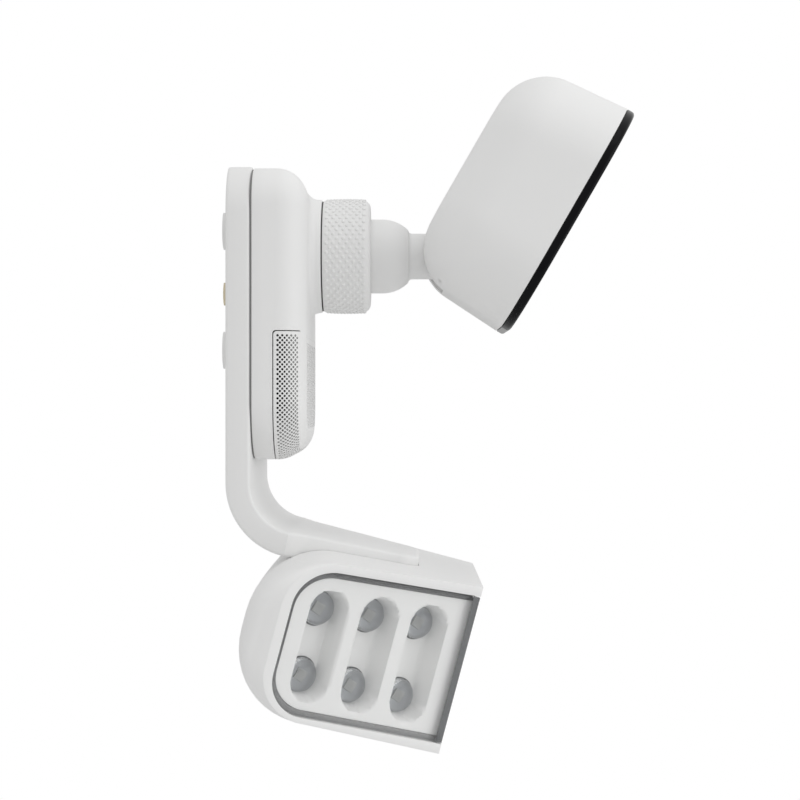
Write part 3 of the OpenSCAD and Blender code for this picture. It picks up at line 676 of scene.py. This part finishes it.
def buildCollar():
    c = collarSize
    stem = baseSize["stemZ"]
    profile = [(0, c["bore"]), (0, collarRadius(0) - 0.5), (0.15, collarRadius(0) - 0.15)]
    profile += [(s, collarRadius(s)) for s in (0.5, 2, 4, 6, 8, 10, c["length"] - c["frontRound"])]
    edgeR = collarRadius(c["length"] - c["frontRound"])
    profile += [(c["length"] - c["frontRound"] + x, edgeR - c["frontRound"] + z)
                for z, x in arcPoints(0, 0, c["frontRound"], 0, 90, 8)[1:]]
    profile += [(c["length"], c["lip"] + 0.4), (c["length"] - 0.4, c["lip"]), (c["length"] - 1.2, c["lip"]),
                (c["length"] - 1.2, c["bore"])]
    ring = turnProfile("collarRing", profile, (0, c["back"], stem), steps=144)
    dome = []
    for k in range(4):
        a = math.radians(90 * k / 3)
        r = c["dotRadius"] * math.cos(a)
        dome.append([(r * math.cos(math.pi * j / 4), r * math.sin(math.pi * j / 4),
                      c["dotHeight"] * math.sin(a)) for j in range(8)])
    dot = loft("dot", [[(x, y, -0.3) for x, y, _ in dome[0]]] + dome[:3] + [[(x * 0.02, y * 0.02,
            c["dotHeight"]) for x, y, _ in dome[0]]])
    softShade(dot, 60)
    spots = []
    for row in range(2 * c["dotRows"]):
        along = 1.4 + row * c["dotPitch"] / 2
        for k in range(c["dotsRound"] // 2):
            a = 2 * math.pi * (k + 0.5 * (row % 2)) / (c["dotsRound"] // 2)
            r = collarRadius(along) if along < c["length"] - c["frontRound"] else edgeR
            spots.append(((r * math.cos(a), c["back"] - along, stem + r * math.sin(a)),
                          (math.cos(a), 0, math.sin(a))))
    softShade(ring, 32)
    runTree(ring, plantCopies, {"Points": pointCloud("spots", spots), "Copy": dot, "Material": whiteShell})
    carry(ring, "collar", "knurled_plastic", "collar_ring")
    seal = turnProfile("collarSeal", [(-0.5, c["bore"]), (-0.5, c["sealRadius"]), (-0.04, c["sealRadius"]),
                                      (-0.04, c["bore"])],
                       (0, c["back"], stem), steps=96)
    softShade(seal, 32)
    dress(seal, darkRubber)
    carry(seal, "base", "dark_rubber")
    print("collar made,", len(spots), "dots")


buildCollar()


# swivel post with its ball end, and the neck into the head

stemSize = {"postBack": -18.7, "postRadius": 11.5, "domeY": -47.1, "neckRadius": 7.1, "neckBack": -52.4,
            "pivot": (0, -73.8, 12.2),
            "barrelRadius": 10, "barrelHalf": 9, "pinHole": 2.56, "flange": 13.3, "fillet": 1.1}


def buildStem():
    s = stemSize
    stem = baseSize["stemZ"]
    length = s["postBack"] - s["domeY"]
    profile = [(0, 0.01), (0, s["flange"]), (2.2, s["flange"]), (2.2, s["postRadius"]),
               (length, s["postRadius"])]
    stop = math.degrees(math.asin((s["neckRadius"] + s["fillet"]) / s["postRadius"]))
    for k in range(1, 25):
        a = math.radians(90 - (90 - stop) * k / 24)
        profile.append((length + s["postRadius"] * math.cos(a), s["postRadius"] * math.sin(a)))
    edgeX, edgeR = profile[-1]
    for k in range(1, 7):                            # small fillet into the neck
        a = math.radians(90 * k / 6)
        profile.append((edgeX + s["fillet"] * 1.1 * (1 - math.cos(a)),
                        edgeR - s["fillet"] * 0.98 * math.sin(a)))
    profile += [(edgeX + 3, s["neckRadius"] + 0.02), (edgeX + 3, 0.01)]
    post = turnProfile("swivelPost", profile, (0, s["postBack"], stem), steps=96)
    softShade(post, 32)
    dress(post, whiteShell)
    carry(post, "stem", "white_plastic", "swivel_post")
    neck = turnProfile("neckArm", [(0, 0.01), (0, s["neckRadius"]), (6, s["neckRadius"]),
                                   (12, s["neckRadius"]), (18, s["neckRadius"]), (18, 0.01)],
                       (0, s["neckBack"], stem), steps=72)
    px, py, pz = s["pivot"]
    barrel = turnProfile("barrel", [(-s["barrelHalf"], s["pinHole"]),
                                    (-s["barrelHalf"], s["barrelRadius"] - 0.5),
                                    (0.5 - s["barrelHalf"], s["barrelRadius"]),
                                    (s["barrelHalf"] - 0.5, s["barrelRadius"]),
                                    (s["barrelHalf"], s["barrelRadius"] - 0.5),
                                    (s["barrelHalf"], s["pinHole"])],
                         (px, py, pz), axis="x", steps=72)
    combine(neck, barrel, "UNION")
    softShade(neck, 32)
    dress(neck, whiteShell)
    carry(neck, "stem", "white_plastic", "neck_arm")
    print("stem made")


buildStem()


# camera head, measured from the centre of its front and tilted down

headSize = {"half": 38.2, "corner": 23.8, "depth": 33.8, "edge": 14.8, "wall": 2.4, "front": -0.6,
            "tilt": 30, "narrowSide": 0.9,
            "narrowTop": 2.8, "narrowLow": 2.0, "pivotY": 18.9, "pivotZ": -23.4, "slotHalf": 7.6,
            "reset": (-20, 22.4)}
glassSize = {"back": -0.9, "thick": 2.6, "edge": 1.1, "lensZ": 4, "lensHole": 10.2, "lightHole": 1.2,
             "earHole": 0.6}
headTilt = math.radians(headSize["tilt"])
headPlace = (0,
             stemSize["pivot"][1] - headSize["pivotY"] * math.cos(headTilt) + headSize["pivotZ"] * math.sin(headTilt),
             stemSize["pivot"][2] - headSize["pivotY"] * math.sin(headTilt) - headSize["pivotZ"] * math.cos(headTilt))


def headLoop(y, inset, arcSteps=24, sideSteps=8):
    h = headSize
    t = min(1, max(0, (y - h["front"]) / (h["depth"] - h["front"])))
    halfX = h["half"] - h["narrowSide"] * t - inset
    high = h["half"] - h["narrowTop"] * t - inset
    low = h["narrowLow"] * t - h["half"] + inset
    r = max(h["corner"] - inset, 1)
    return [(x, y, z) for x, z in roundOutline(halfX, low, high, r, r, arcSteps, sideSteps)]


def headLoops(grow):
    # grow is the wall for the inside
    h = headSize
    loops = [headLoop(h["front"] - (2 if grow else 0), grow), headLoop(5, grow), headLoop(12, grow),
             headLoop(h["depth"] - h["edge"], grow)]
    edge = h["edge"] - grow
    back = h["depth"] - grow
    for k in range(1, 19):
        a = math.radians(90 * k / 18)
        loops.append(headLoop(back - edge * (1 - math.sin(a)), grow + edge * (1 - math.cos(a))))
    last = loops[-1]
    for f in (0.66, 0.33):
        loops.append([(x * f, y, z * f) for x, y, z in last])
    return loops


def buildHead():
    h, g = headSize, glassSize
    shell = loft("headShell", headLoops(0))
    combine(shell, loft("cut", headLoops(h["wall"])))
    for a in range(0, 51, 10):                       # the neck's sweep through the back
        c, s = math.cos(math.radians(a)), math.sin(math.radians(a))
        corners = [(0, -h["slotHalf"]), (40, -h["slotHalf"]), (40, h["slotHalf"]), (0, h["slotHalf"])]
        turnedCorners = [(h["pivotY"] + u * c + v * s, h["pivotZ"] - u * s + v * c) for u, v in corners]
        combine(shell, loft("cut", [[(x, y, z) for y, z in turnedCorners]
                                    for x in (-h["slotHalf"], h["slotHalf"])]))
    pinhole = prism("cut", [(0.6 * math.cos(k * math.pi / 8), 0.6 * math.sin(k * math.pi / 8))
                            for k in range(16)], 0, 14)
    for vertex in pinhole.data.vertices:
        x, y, z = vertex.co / mm
        vertex.co = Vector((h["reset"][0] + x, h["reset"][1] + z, -45 + y)) * mm
    combine(shell, pinhole)
    turnPiece(shell, h["tilt"], headPlace)
    softShade(shell, 32)
    dress(shell, whiteShell)
    carry(shell, "head", "white_plastic", "head_shell")
    loops = []
    for back, inset in [(0, 0.25), (0, 0.1), (0.1, 0), (g["thick"] - g["edge"], 0)]:
        loops.append([(x, g["back"] - back, z) for x, _, z in headLoop(h["front"], inset)])
    for k in range(1, 9):
        a = math.radians(90 * k / 8)
        loops.append([(x, g["back"] - g["thick"] + g["edge"] * (1 - math.sin(a)), z)
                      for x, _, z in headLoop(h["front"], g["edge"] * (1 - math.cos(a)))])
    plate = loft("frontPlate", loops)
    combine(plate, rodAlongY("cut", 0, g["lensZ"], g["lensHole"], 5, -20, 72))
    combine(plate, rodAlongY("cut", 0, -20, g["lightHole"], 5, -20, 24))
    combine(plate, rodAlongY("cut", 0, -27, g["earHole"], 5, -20, 16))
    turnPiece(plate, h["tilt"], headPlace)
    softShade(plate, 32)
    dress(plate, blackGlass)
    carry(plate, "head", "black_front", "front_plate")
    print("head made")


buildHead()


# lamp, measured from the centre of its front face and tilted down

lampSize = {"place": (0, -70.4, -111.3), "tilt": 15, "frontHalf": 40.6, "height": 50.2, "depth": 65.2,
            "flare": 33, "topTaper": 2.8, "lowTaper": 3.9,
            "topRound": 22, "lowRound": 19, "bezelEnd": 54.3, "bezelRound": 14, "windowHalf": 22.2,
            "windowEnd": 51.6, "windowTaper": 2,
            "windowRound": 11, "coverIn": 0.15, "coverThick": 1.5, "plateIn": 2.1, "troughDeep": 6.9,
            "troughRadius": 6.4, "wall": 1.1,
            "paintedBandWidth": 1.9, "rearIn": -0.2, "firstLens": 13.8, "lensPitch": 17.1,
            "lensRows": (11, 10.4, 9.7), "rowMid": -0.6, "squareness": 3.6, "recess": 12}
flare = math.radians(lampSize["flare"])


def sidePoint(s, depth, side):
    # point on a side window's plane, at distance s behind the front corner and depth inside
    x = lampSize["frontHalf"] + s * math.sin(flare) - depth * math.cos(flare)
    return side * x, s * math.cos(flare) + depth * math.sin(flare)


def cornerAt(depth):
    return depth * (1 - math.sin(flare)) / math.cos(flare)


def alongSide(line):
    # (y, z) as seen from the side becomes (length along the window, z)
    return [(y / math.cos(flare), z) for y, z in line]


def bezelOutline(steps=10):
    # (s, z) round the bezel from the top front corner to the bottom front corner
    l = lampSize
    half, end, r = l["height"] / 2, l["bezelEnd"], l["bezelRound"]
    top, low = math.tan(math.radians(l["topTaper"])), math.tan(math.radians(l["lowTaper"]))
    line = [(s, half - s * top) for s in [k * (end - r) / steps for k in range(steps + 1)]]
    topEnd, lowEnd = half - (end - r) * top, (end - r) * low - half
    line += arcPoints(end - r, topEnd - r, r, 90, 0, 12)[1:]
    line += [(end, topEnd - r + (lowEnd - topEnd + 2 * r) * k / 8) for k in range(1, 8)]
    line += arcPoints(end - r, lowEnd + r, r, 0, -90, 12)
    line += [(s, s * low - half) for s in [(end - r) * (1 - k / steps) for k in range(1, steps + 1)]]
    return alongSide(line)


def backOutline(steps=10):
    # (y, z) of the lamp's middle profile, with as many points as the bezel's outline
    l = lampSize
    half, end = l["height"] / 2, l["depth"]
    top, low = math.tan(math.radians(l["topTaper"])), math.tan(math.radians(l["lowTaper"]))
    r, q = l["topRound"], l["lowRound"]
    topEnd, lowEnd = half - (end - r) * top, (end - q) * low - half
    line = [(k * (end - r) / steps, half - k * (end - r) / steps * top) for k in range(steps + 1)]
    line += arcPoints(end - r, topEnd - r, r, 90, 0, 12)[1:]
    line += [(end, topEnd - r + (lowEnd + q - topEnd + r) * k / 8) for k in range(1, 8)]
    line += arcPoints(end - q, lowEnd + q, q, 0, -90, 12)
    line += [((end - q) * (1 - k / steps), (end - q) * (1 - k / steps) * low - half)
             for k in range(1, steps + 1)]
    return line


def windowOutline(shrink=0, steps=10, front=0.0, rear=0.0):
    l = lampSize
    half, end, r = l["windowHalf"] - shrink, l["windowEnd"] - shrink - rear, l["windowRound"] - shrink * 0.6
    slope = math.tan(math.radians(l["windowTaper"]))
    front *= math.cos(flare)
    line = [(s, half - s * slope) for s in [front + k * (end - r - front) / steps for k in range(steps + 1)]]
    edge = half - (end - r) * slope
    line += arcPoints(end - r, edge - r, r, 90, 0, 12)[1:]
    line += [(end, (edge - r) * (1 - k / 4)) for k in range(1, 8)]
    line += arcPoints(end - r, r - edge, r, 0, -90, 12)
    line += [(s, s * slope - half) for s in [front + (end - r - front) * (1 - k / steps)
                                             for k in range(1, steps + 1)]]
    return alongSide(line)


def buildLampHousing(across=56):
    l = lampSize
    bezel, back = bezelOutline(), backOutline()
    n = len(bezel)
    points, faces = [], []
    for i in range(n):                               # the skin, from the left bezel over the back to the right
        bx, by = sidePoint(bezel[i][0], 0, 1)
        bz = bezel[i][1]
        py, pz = back[i]
        for j in range(across + 1):
            a = math.pi * j / across
            v = -math.copysign(abs(math.cos(a)) ** (1.35),
                               math.cos(a)) if 0 < j < across else (-1 if j == 0 else 1)
            f = max(0, 1 - abs(v) ** l["squareness"]) ** (1 / l["squareness"])
            points.append((v * bx, by + (py - by) * f, bz + (pz - bz) * f))
    faces += wrap(n, across + 1, closed=False)
    for side, column in ((-1, 0), (1, across)):      # bezel faces and the recess behind them
        start = len(points)
        for depth in (0, 1.5, 3.2, l["recess"]):
            for s, z in windowOutline(front=cornerAt(depth)):
                x, y = sidePoint(s, depth, side)
                points.append((x, y, z))
        for i in range(n - 1):
            faces.append((i * (across + 1) + column, (i + 1) * (across + 1) + column, start + i + 1,
                          start + i))
        for i, j, k, m in wrap(4, n, closed=False):
            faces.append((start + i, start + j, start + k, start + m))
    rightStart = len(points) - 4 * n
    leftStart = rightStart - 4 * n
    for end, row in ((0, 0), (n - 1, n - 1)):        # strips above and below the front window
        faces.append(tuple([row * (across + 1) + j for j in range(across + 1)] + [rightStart + end,
                leftStart + end]))
        for k in range(3):
            faces.append((leftStart + k * n + end, rightStart + k * n + end, rightStart + (k + 1) * n + end,
                          leftStart + (k + 1) * n + end))
    housing = addMesh("lampHousing", points, faces)
    cleanUp(housing)
    rounding = housing.modifiers.new("edges", "BEVEL")
    rounding.width = 0.8 * mm
    rounding.segments = 3
    rounding.limit_method = "ANGLE"
    rounding.angle_limit = math.radians(28)
    bakeMesh(housing)
    softShade(housing, 28)
    return housing


def orient(piece, outwardFrom):
    # faces of an open skin turned away from a point inside it
    soup = bmesh.new()
    soup.from_mesh(piece.data)
    bmesh.ops.recalc_face_normals(soup, faces=soup.faces)
    widest = max(soup.faces, key=lambda f: (f.calc_center_median() - outwardFrom).length)
    if widest.normal.dot(widest.calc_center_median() - outwardFrom) < 0:
        bmesh.ops.reverse_faces(soup, faces=soup.faces)
    soup.to_mesh(piece.data)
    soup.free()


def thicken(piece, thickness):
    wall = piece.modifiers.new("wall", "SOLIDIFY")
    wall.thickness = thickness * mm
    wall.offset = -1
    wall.use_even_offset = False
    bakeMesh(piece)


def tongueBlock(name, grow):
    # the bracket's tongue grown by a seam, in the shared frame
    b = bracketSize
    e = grow
    plan = [(37 + e, 4)] + [(b["waist"] + e, -6)] + arcPoints(b["tipHalf"] - b["tipCorner"],
            b["tipCorner"] - b["tongue"], b["tipCorner"] + e, 0, -90, 10)
    plan += [(-x, y) for x, y in reversed(plan)]
    low, high = -b["bendRadius"] - e, -b["bendRadius"] + b["thick"] + 6
    loops = [[(x, y, z) for x, y in plan] for z in (low, high)]
    return loft(name, [turned(loop, b["slope"], (0, b["back"] - b["bendRadius"], b["bendZ"]))
                       for loop in loops])


def buildLamp():
    l = lampSize
    housing = buildLampHousing()
    orient(housing, Vector((0, 30, 0)) * mm)
    thicken(housing, l["wall"])
    turnPiece(housing, l["tilt"], l["place"])
    combine(housing, tongueBlock("cut", 0.25))
    softShade(housing, 28)
    dress(housing, whiteShell)
    carry(housing, "base", "white_plastic", "lamp_housing")
    print("lamp housing made,", len(housing.data.polygons), "faces")


buildLamp()


def slabPanels(name, shrink, d0, d1, rim):
    # clear cover: three flat panels in one bent sheet; rim faces take the second finish, a painted dark grey standing
    # in for refraction at the cover's edges
    outlines = []
    for depth in (d0, d1):
        row = []
        for side in (-1, 1):
            row.append([(*sidePoint(s, depth, side), z) for s,
                        z in windowOutline(shrink, front=cornerAt(depth))])
        outlines.append(row)
    n = len(outlines[0][0])
    points = [p for row in outlines for line in row for p in line]
    faces, rimFaces = [], []
    half = n // 2
    for layer in (0, 1):
        for side in (0, 1):
            base = (layer * 2 + side) * n
            for i in range(half):
                quad = (base + i, base + i + 1, base + n - 2 - i, base + n - 1 - i)
                if len(set(quad)) == 4:
                    faces.append(quad)
                else:
                    faces.append(tuple(dict.fromkeys(quad)))
        left, right = layer * 2 * n, (layer * 2 + 1) * n
        faces.append((left, right, right + n - 1, left + n - 1))
    for side in (0, 1):
        for i in range(n - 1):
            rimFaces.append((side * n + i, side * n + i + 1, (2 + side) * n + i + 1, (2 + side) * n + i))
    for end in (0, n - 1):
        rimFaces.append((end, n + end, 3 * n + end, 2 * n + end))
    piece = addMesh(name, points, faces + rimFaces)
    for k, face in enumerate(piece.data.polygons):
        face.material_index = 1 if k >= len(faces) and rim else 0
    return piece


def buildCover():
    l = lampSize
    cover = slabPanels("lampCover", 0.25, l["coverIn"], l["coverIn"] + l["coverThick"], True)
    cleanUp(cover)
    turnPiece(cover, l["tilt"], l["place"])
    dress(cover, coverClear, coverEdge)
    carry(cover, "base", "clear_cover", "lamp_cover")


def buildPaintedEdgeBand():
    # painted dark band under the cover's edge, and dark bars at the cover's front corners, both standing in for
    # refraction along the clear cover's edges
    l = lampSize
    rows = [(0.05, l["coverIn"] + l["coverThick"] + 0.1, 0), (0.05, l["plateIn"] + 0.4, 0),
            (l["paintedBandWidth"] - 0.1, l["plateIn"] - 0.02, l["rearIn"])]
    points = []
    for shrink, depth, rear in rows:
        for side in (-1, 1):
            points += [(*sidePoint(s, depth, side), z) for s,
                       z in windowOutline(shrink, front=cornerAt(depth), rear=rear)]
    n = len(points) // 6
    faces = []
    for k in range(2):
        for side in (0, 1):
            a, c = (2 * k + side) * n, (2 * k + 2 + side) * n
            faces += [(a + i, a + i + 1, c + i + 1, c + i) for i in range(n - 1)]
        for end in (0, n - 1):
            faces.append((2 * k * n + end, (2 * k + 1) * n + end, (2 * k + 3) * n + end,
                          (2 * k + 2) * n + end))
    seal = addMesh("coverSeal", points, faces)
    cleanUp(seal)
    thicken(seal, 0.3)
    turnPiece(seal, l["tilt"], l["place"])
    # the band's dark, height-graded tone is painted refraction shade, not a dark part
    dress(seal, sealShade)
    carry(seal, "base", "dark_plastic")
    near, far = l["coverIn"] - 0.04, l["plateIn"] - 0.05
    sideEnd = (far - near * math.sin(flare)) / math.cos(flare)
    # dark bars painted at the cover's bent front corners, standing in for the refracted line there
    for word, side in (("Left", -1), ("Right", 1)):
        nearCorner, farCorner = sidePoint(cornerAt(near), near, side), sidePoint(cornerAt(far), far, side)
        plan = [nearCorner, sidePoint(sideEnd, near, side), farCorner, (farCorner[0] - side * 1.2, far),
                (nearCorner[0] - side * 1.2, near)]
        bar = loft("coverCorner" + word, [[(x, y, z) for x, y in plan]
                                          for z in (0.4 - l["windowHalf"], l["windowHalf"] - 0.4)])
        turnPiece(bar, l["tilt"], l["place"])
        dress(bar, coverEdge)
        carry(bar, "base", "clear_cover")


def troughDepth(along, z, columns):
    # how far the reflector dips at a spot, with soft walls round each column of lenses
    l = lampSize
    dip = 0.0
    for spot, row in columns:
        dz = max(0, abs(z - l["rowMid"]) - row)
        far = math.hypot(along - spot, dz)
        t = min(1, max(0, (far - l["troughRadius"] + 1.7) / 1.7))
        dip = max(dip, 1 - t * t * (3 - 2 * t))
    return dip * l["troughDeep"]


def lensColumns(side):
    l = lampSize
    if side == 0:
        return [((i - 1.5) * l["lensPitch"], l["lensRows"][0]) for i in range(4)]
    return [(l["firstLens"] + i * l["lensPitch"], l["lensRows"][i]) for i in range(3)]


def windowPlace(side, along, depth):
    if side == 0:
        return along, depth
    return sidePoint(along, depth, side)


def windowFacing(side):
    if side == 0:
        return Vector((0, -1, 0))
    return Vector((side * math.cos(flare), -math.sin(flare), 0))


def buildReflector(name, node, side):
    l = lampSize
    columns = lensColumns(side)
    cells, rows = 96, 52
    points = []
    edge = l["windowHalf"] - l["paintedBandWidth"]
    end = l["windowEnd"] - l["paintedBandWidth"] - l["rearIn"]
    r = l["windowRound"] - l["paintedBandWidth"] * 0.6
    slope = math.tan(math.radians(l["windowTaper"]))
    for i in range(cells + 1):
        for j in range(rows + 1):
            z = edge * (2 * j / rows - 1)
            if side == 0:
                reach = l["frontHalf"] - (l["plateIn"] * (1 - math.sin(flare)) / math.cos(flare)) - 0.1
                along = reach * (2 * i / cells - 1)
            else:
                y = end * (1 - (1 - i / cells) ** 1.25) + (cornerAt(l["plateIn"]) + 0.1) * math.cos(flare) * (1 - i / cells)
                along = y / math.cos(flare)
                over = max(0, y - (end - r))
                z *= (edge - min(y, end - r) * slope - r + math.sqrt(max(0, r * r - over * over))) / edge
            depth = l["plateIn"] + troughDepth(along, z, columns)
            points.append((*windowPlace(side, along, depth), z))
    plate = addMesh(name, points, wrap(cells + 1, rows + 1, closed=False))
    facing = windowFacing(side)
    soup = bmesh.new()
    soup.from_mesh(plate.data)
    bmesh.ops.recalc_face_normals(soup, faces=soup.faces)
    soup.faces.ensure_lookup_table()
    if soup.faces[0].normal.dot(facing) < 0:
        bmesh.ops.reverse_faces(soup, faces=soup.faces)
    soup.to_mesh(plate.data)
    soup.free()
    thicken(plate, 0.5)
    turnPiece(plate, l["tilt"], l["place"])
    softShade(plate, 50)
    dress(plate, whiteInside)
    carry(plate, "base", "white_plastic", node)


domeSize = {"radius": 5.0, "height": 4.2, "base": 9.05, "rings": 10, "steps": 32, "rim": 5.3, "holder": 4.7,
            "chip": 1.7}


def lensSpots(side, depth):
    l = lampSize
    spots = []
    for along, row in lensColumns(side):
        for up in (-1, 1):
            x, y = windowPlace(side, along, depth)
            spots.append(((x, y, l["rowMid"] + up * row), tuple(windowFacing(side))))
    places = turned([p for p, _ in spots], l["tilt"], l["place"])
    faces = turned([f for _, f in spots], l["tilt"], (0, 0, 0))
    return list(zip(places, faces))


def domeShape():
    d = domeSize
    loops = []
    for k in range(d["rings"]):
        a = math.radians(90 * k / d["rings"])
        loops.append([(d["radius"] * math.cos(a) * math.cos(2 * math.pi * j / d["steps"]),
                       d["radius"] * math.cos(a) * math.sin(2 * math.pi * j / d["steps"]),
                       d["height"] * math.sin(a)) for j in range(d["steps"])])
    loops.append([(x * 0.01, y * 0.01, d["height"]) for x, y, _ in loops[0]])
    dome = loft("dome", loops)
    softShade(dome, 50)
    return dome


def blockShape(name, radius, low, high, steps):
    loops = [[(radius * math.cos(2 * math.pi * (j + 0.5) / steps),
               radius * math.sin(2 * math.pi * (j + 0.5) / steps), z) for j in range(steps)]
             for z in (low, high)]
    return loft(name, loops)


def plantOn(name, shape, spots, material, node, slot):
    piece = addMesh(name, [], [])
    runTree(piece, plantCopies, {"Points": pointCloud("spots", spots), "Copy": shape, "Material": material})
    if node:
        carry(piece, "base", slot, node)
    else:
        carry(piece, "base", slot)
    return piece


def buildLenses():
    for word, side in (("Left", -1), ("Front", 0), ("Right", 1)):
        lower = word.lower()
        buildReflector("reflector" + word, "reflector_" + lower, side)
        plantOn("domes" + word, domeShape(), lensSpots(side, domeSize["base"] - 0.35), domeClear,
                "lenses_" + lower, "led_lens")
        plantOn("rims" + word, blockShape("rim", domeSize["rim"], -0.3, -0.05, 32),
                lensSpots(side, domeSize["base"] - 0.4 + 0.1), darkPlastic, None, "dark_plastic")
        plantOn("holders" + word, blockShape("disc", domeSize["holder"], -0.25, 0.02, 24),
                lensSpots(side, domeSize["base"] - 0.4 + 0.1), lensHolder, None, "dark_plastic")
        plantOn("chips" + word, blockShape("chip", domeSize["chip"], 0, 0.3, 4),
                lensSpots(side, domeSize["base"] - 0.4 + 0.05), lampChip, None, "white_board")
    print("reflectors and lenses made")


buildCover()
buildPaintedEdgeBand()
buildLenses()


# finishes of the parts that keep their CAD shape

nodeFinishes = {
    "wall_spacers": whiteShell, "wall_bumpers": beigeRubber, "cable_grommet": darkRubber,
    "base_gasket": paleGasket,
    "base_screws": platedSteel, "acoustic_cloth": blackCloth, "speaker_frame": darkPlastic,
    "speaker_cone": paperCone,
    "base_board": greenBoard, "socket_sleeve": satinAluminium, "sleeve_nut": satinAluminium,
    "head_gasket": darkRubber,
    "lens_ring": darkPlastic, "lens_glass": lensCoated, "lens_barrel": darkPlastic,
    "sensor_board": greenBoard,
    "infrared_board": greenBoard, "infrared_leds": darkPlastic, "status_light": bluePipe,
    "main_board": greenBoard,
    "heat_spreader": satinAluminium, "tilt_yoke": platedSteel, "tilt_pin": platedSteel,
    "tilt_washers": darkRubber,
    "yoke_screws": platedSteel, "reset_switch": darkPlastic, "reset_plunger": darkPlastic,
    "led_board_left": whiteBoard,
    "led_board_front": whiteBoard, "led_board_right": whiteBoard, "lamp_heat_sink": satinAluminium,
    "lamp_driver": greenBoard,
    "lamp_screws": platedSteel}
for name, material in nodeFinishes.items():
    dress(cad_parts[name], material)
print("carried-over parts dressed")


# floor, light and camera

studio = {"side": 0.56, "above": 0.38, "front": 0.16, "floor": -0.42, "floorHalf": 1.2}


def buildStudio():
    floorMesh = addMesh("floor", [[x * studio["floorHalf"] / mm, y * studio["floorHalf"] / mm,
                                   studio["floor"] / mm]
                                  for x, y in ((-1, -1), (1, -1), (1, 1), (-1, 1))], [(0, 1, 2, 3)])
    dress(floorMesh, finish("paleFloor", (0.74, 0.74, 0.74), 0.8, mottle=0.01, grain=200, relief=0.02,
                            patch=8))
    world = bpy.data.worlds.new("softBox")
    bpy.context.scene.world = world
    world.use_nodes = True
    nodes, links = world.node_tree.nodes, world.node_tree.links
    place = nodes.new("ShaderNodeTexCoord")
    lean = nodes.new("ShaderNodeVectorMath")
    lean.operation = "DOT_PRODUCT"
    lean.inputs[1].default_value = (0, -studio["front"], studio["above"])
    links.new(place.outputs["Generated"], lean.inputs[0])
    level = nodes.new("ShaderNodeMath")
    level.operation = "ADD"
    level.inputs[1].default_value = studio["side"]
    links.new(lean.outputs["Value"], level.inputs[0])
    soft = nodes["Background"]
    links.new(level.outputs["Value"], soft.inputs["Strength"])
    plain = nodes.new("ShaderNodeBackground")
    plain.inputs["Color"].default_value = (1, 1, 1, 1)
    soft.inputs["Color"].default_value = (1, 1, 1, 1)
    path = nodes.new("ShaderNodeLightPath")
    mix = nodes.new("ShaderNodeMixShader")
    links.new(path.outputs["Is Camera Ray"], mix.inputs["Fac"])
    links.new(soft.outputs["Background"], mix.inputs[1])
    links.new(plain.outputs["Background"], mix.inputs[2])
    links.new(mix.outputs["Shader"], nodes["World Output"].inputs["Surface"])
    for name, spot, power, size in (("topLight", (-0.35, -0.25, 0.9), 1.2, 0.9),
                                    ("frontLight", (-0.4, -0.9, 0.0), 1.8, 0.8),
                                    ("backLight", (-0.3, 0.9, -0.1), 1.6, 0.8)):
        lamp = bpy.data.lights.new(name, "AREA")
        lamp.energy = power
        lamp.size = size
        holder = bpy.data.objects.new(name, lamp)
        bpy.context.scene.collection.objects.link(holder)
        holder.location = spot
        holder.rotation_euler = (Vector((0, -0.05, -0.03)) - Vector(spot)).to_track_quat("-Z", "Y").to_euler()
    view = bpy.data.cameras.new("camera")
    view.lens = 85
    view.sensor_width = 36
    view.clip_start = 0.01
    camera = bpy.data.objects.new("camera", view)
    bpy.context.scene.collection.objects.link(camera)
    camera.location = (-0.59, -0.0526, -0.0326)
    camera.rotation_euler = (math.radians(90), 0, math.radians(-90))
    bpy.context.scene.camera = camera
    bpy.context.scene.view_settings.view_transform = "Standard"


buildStudio()
print("studio set")
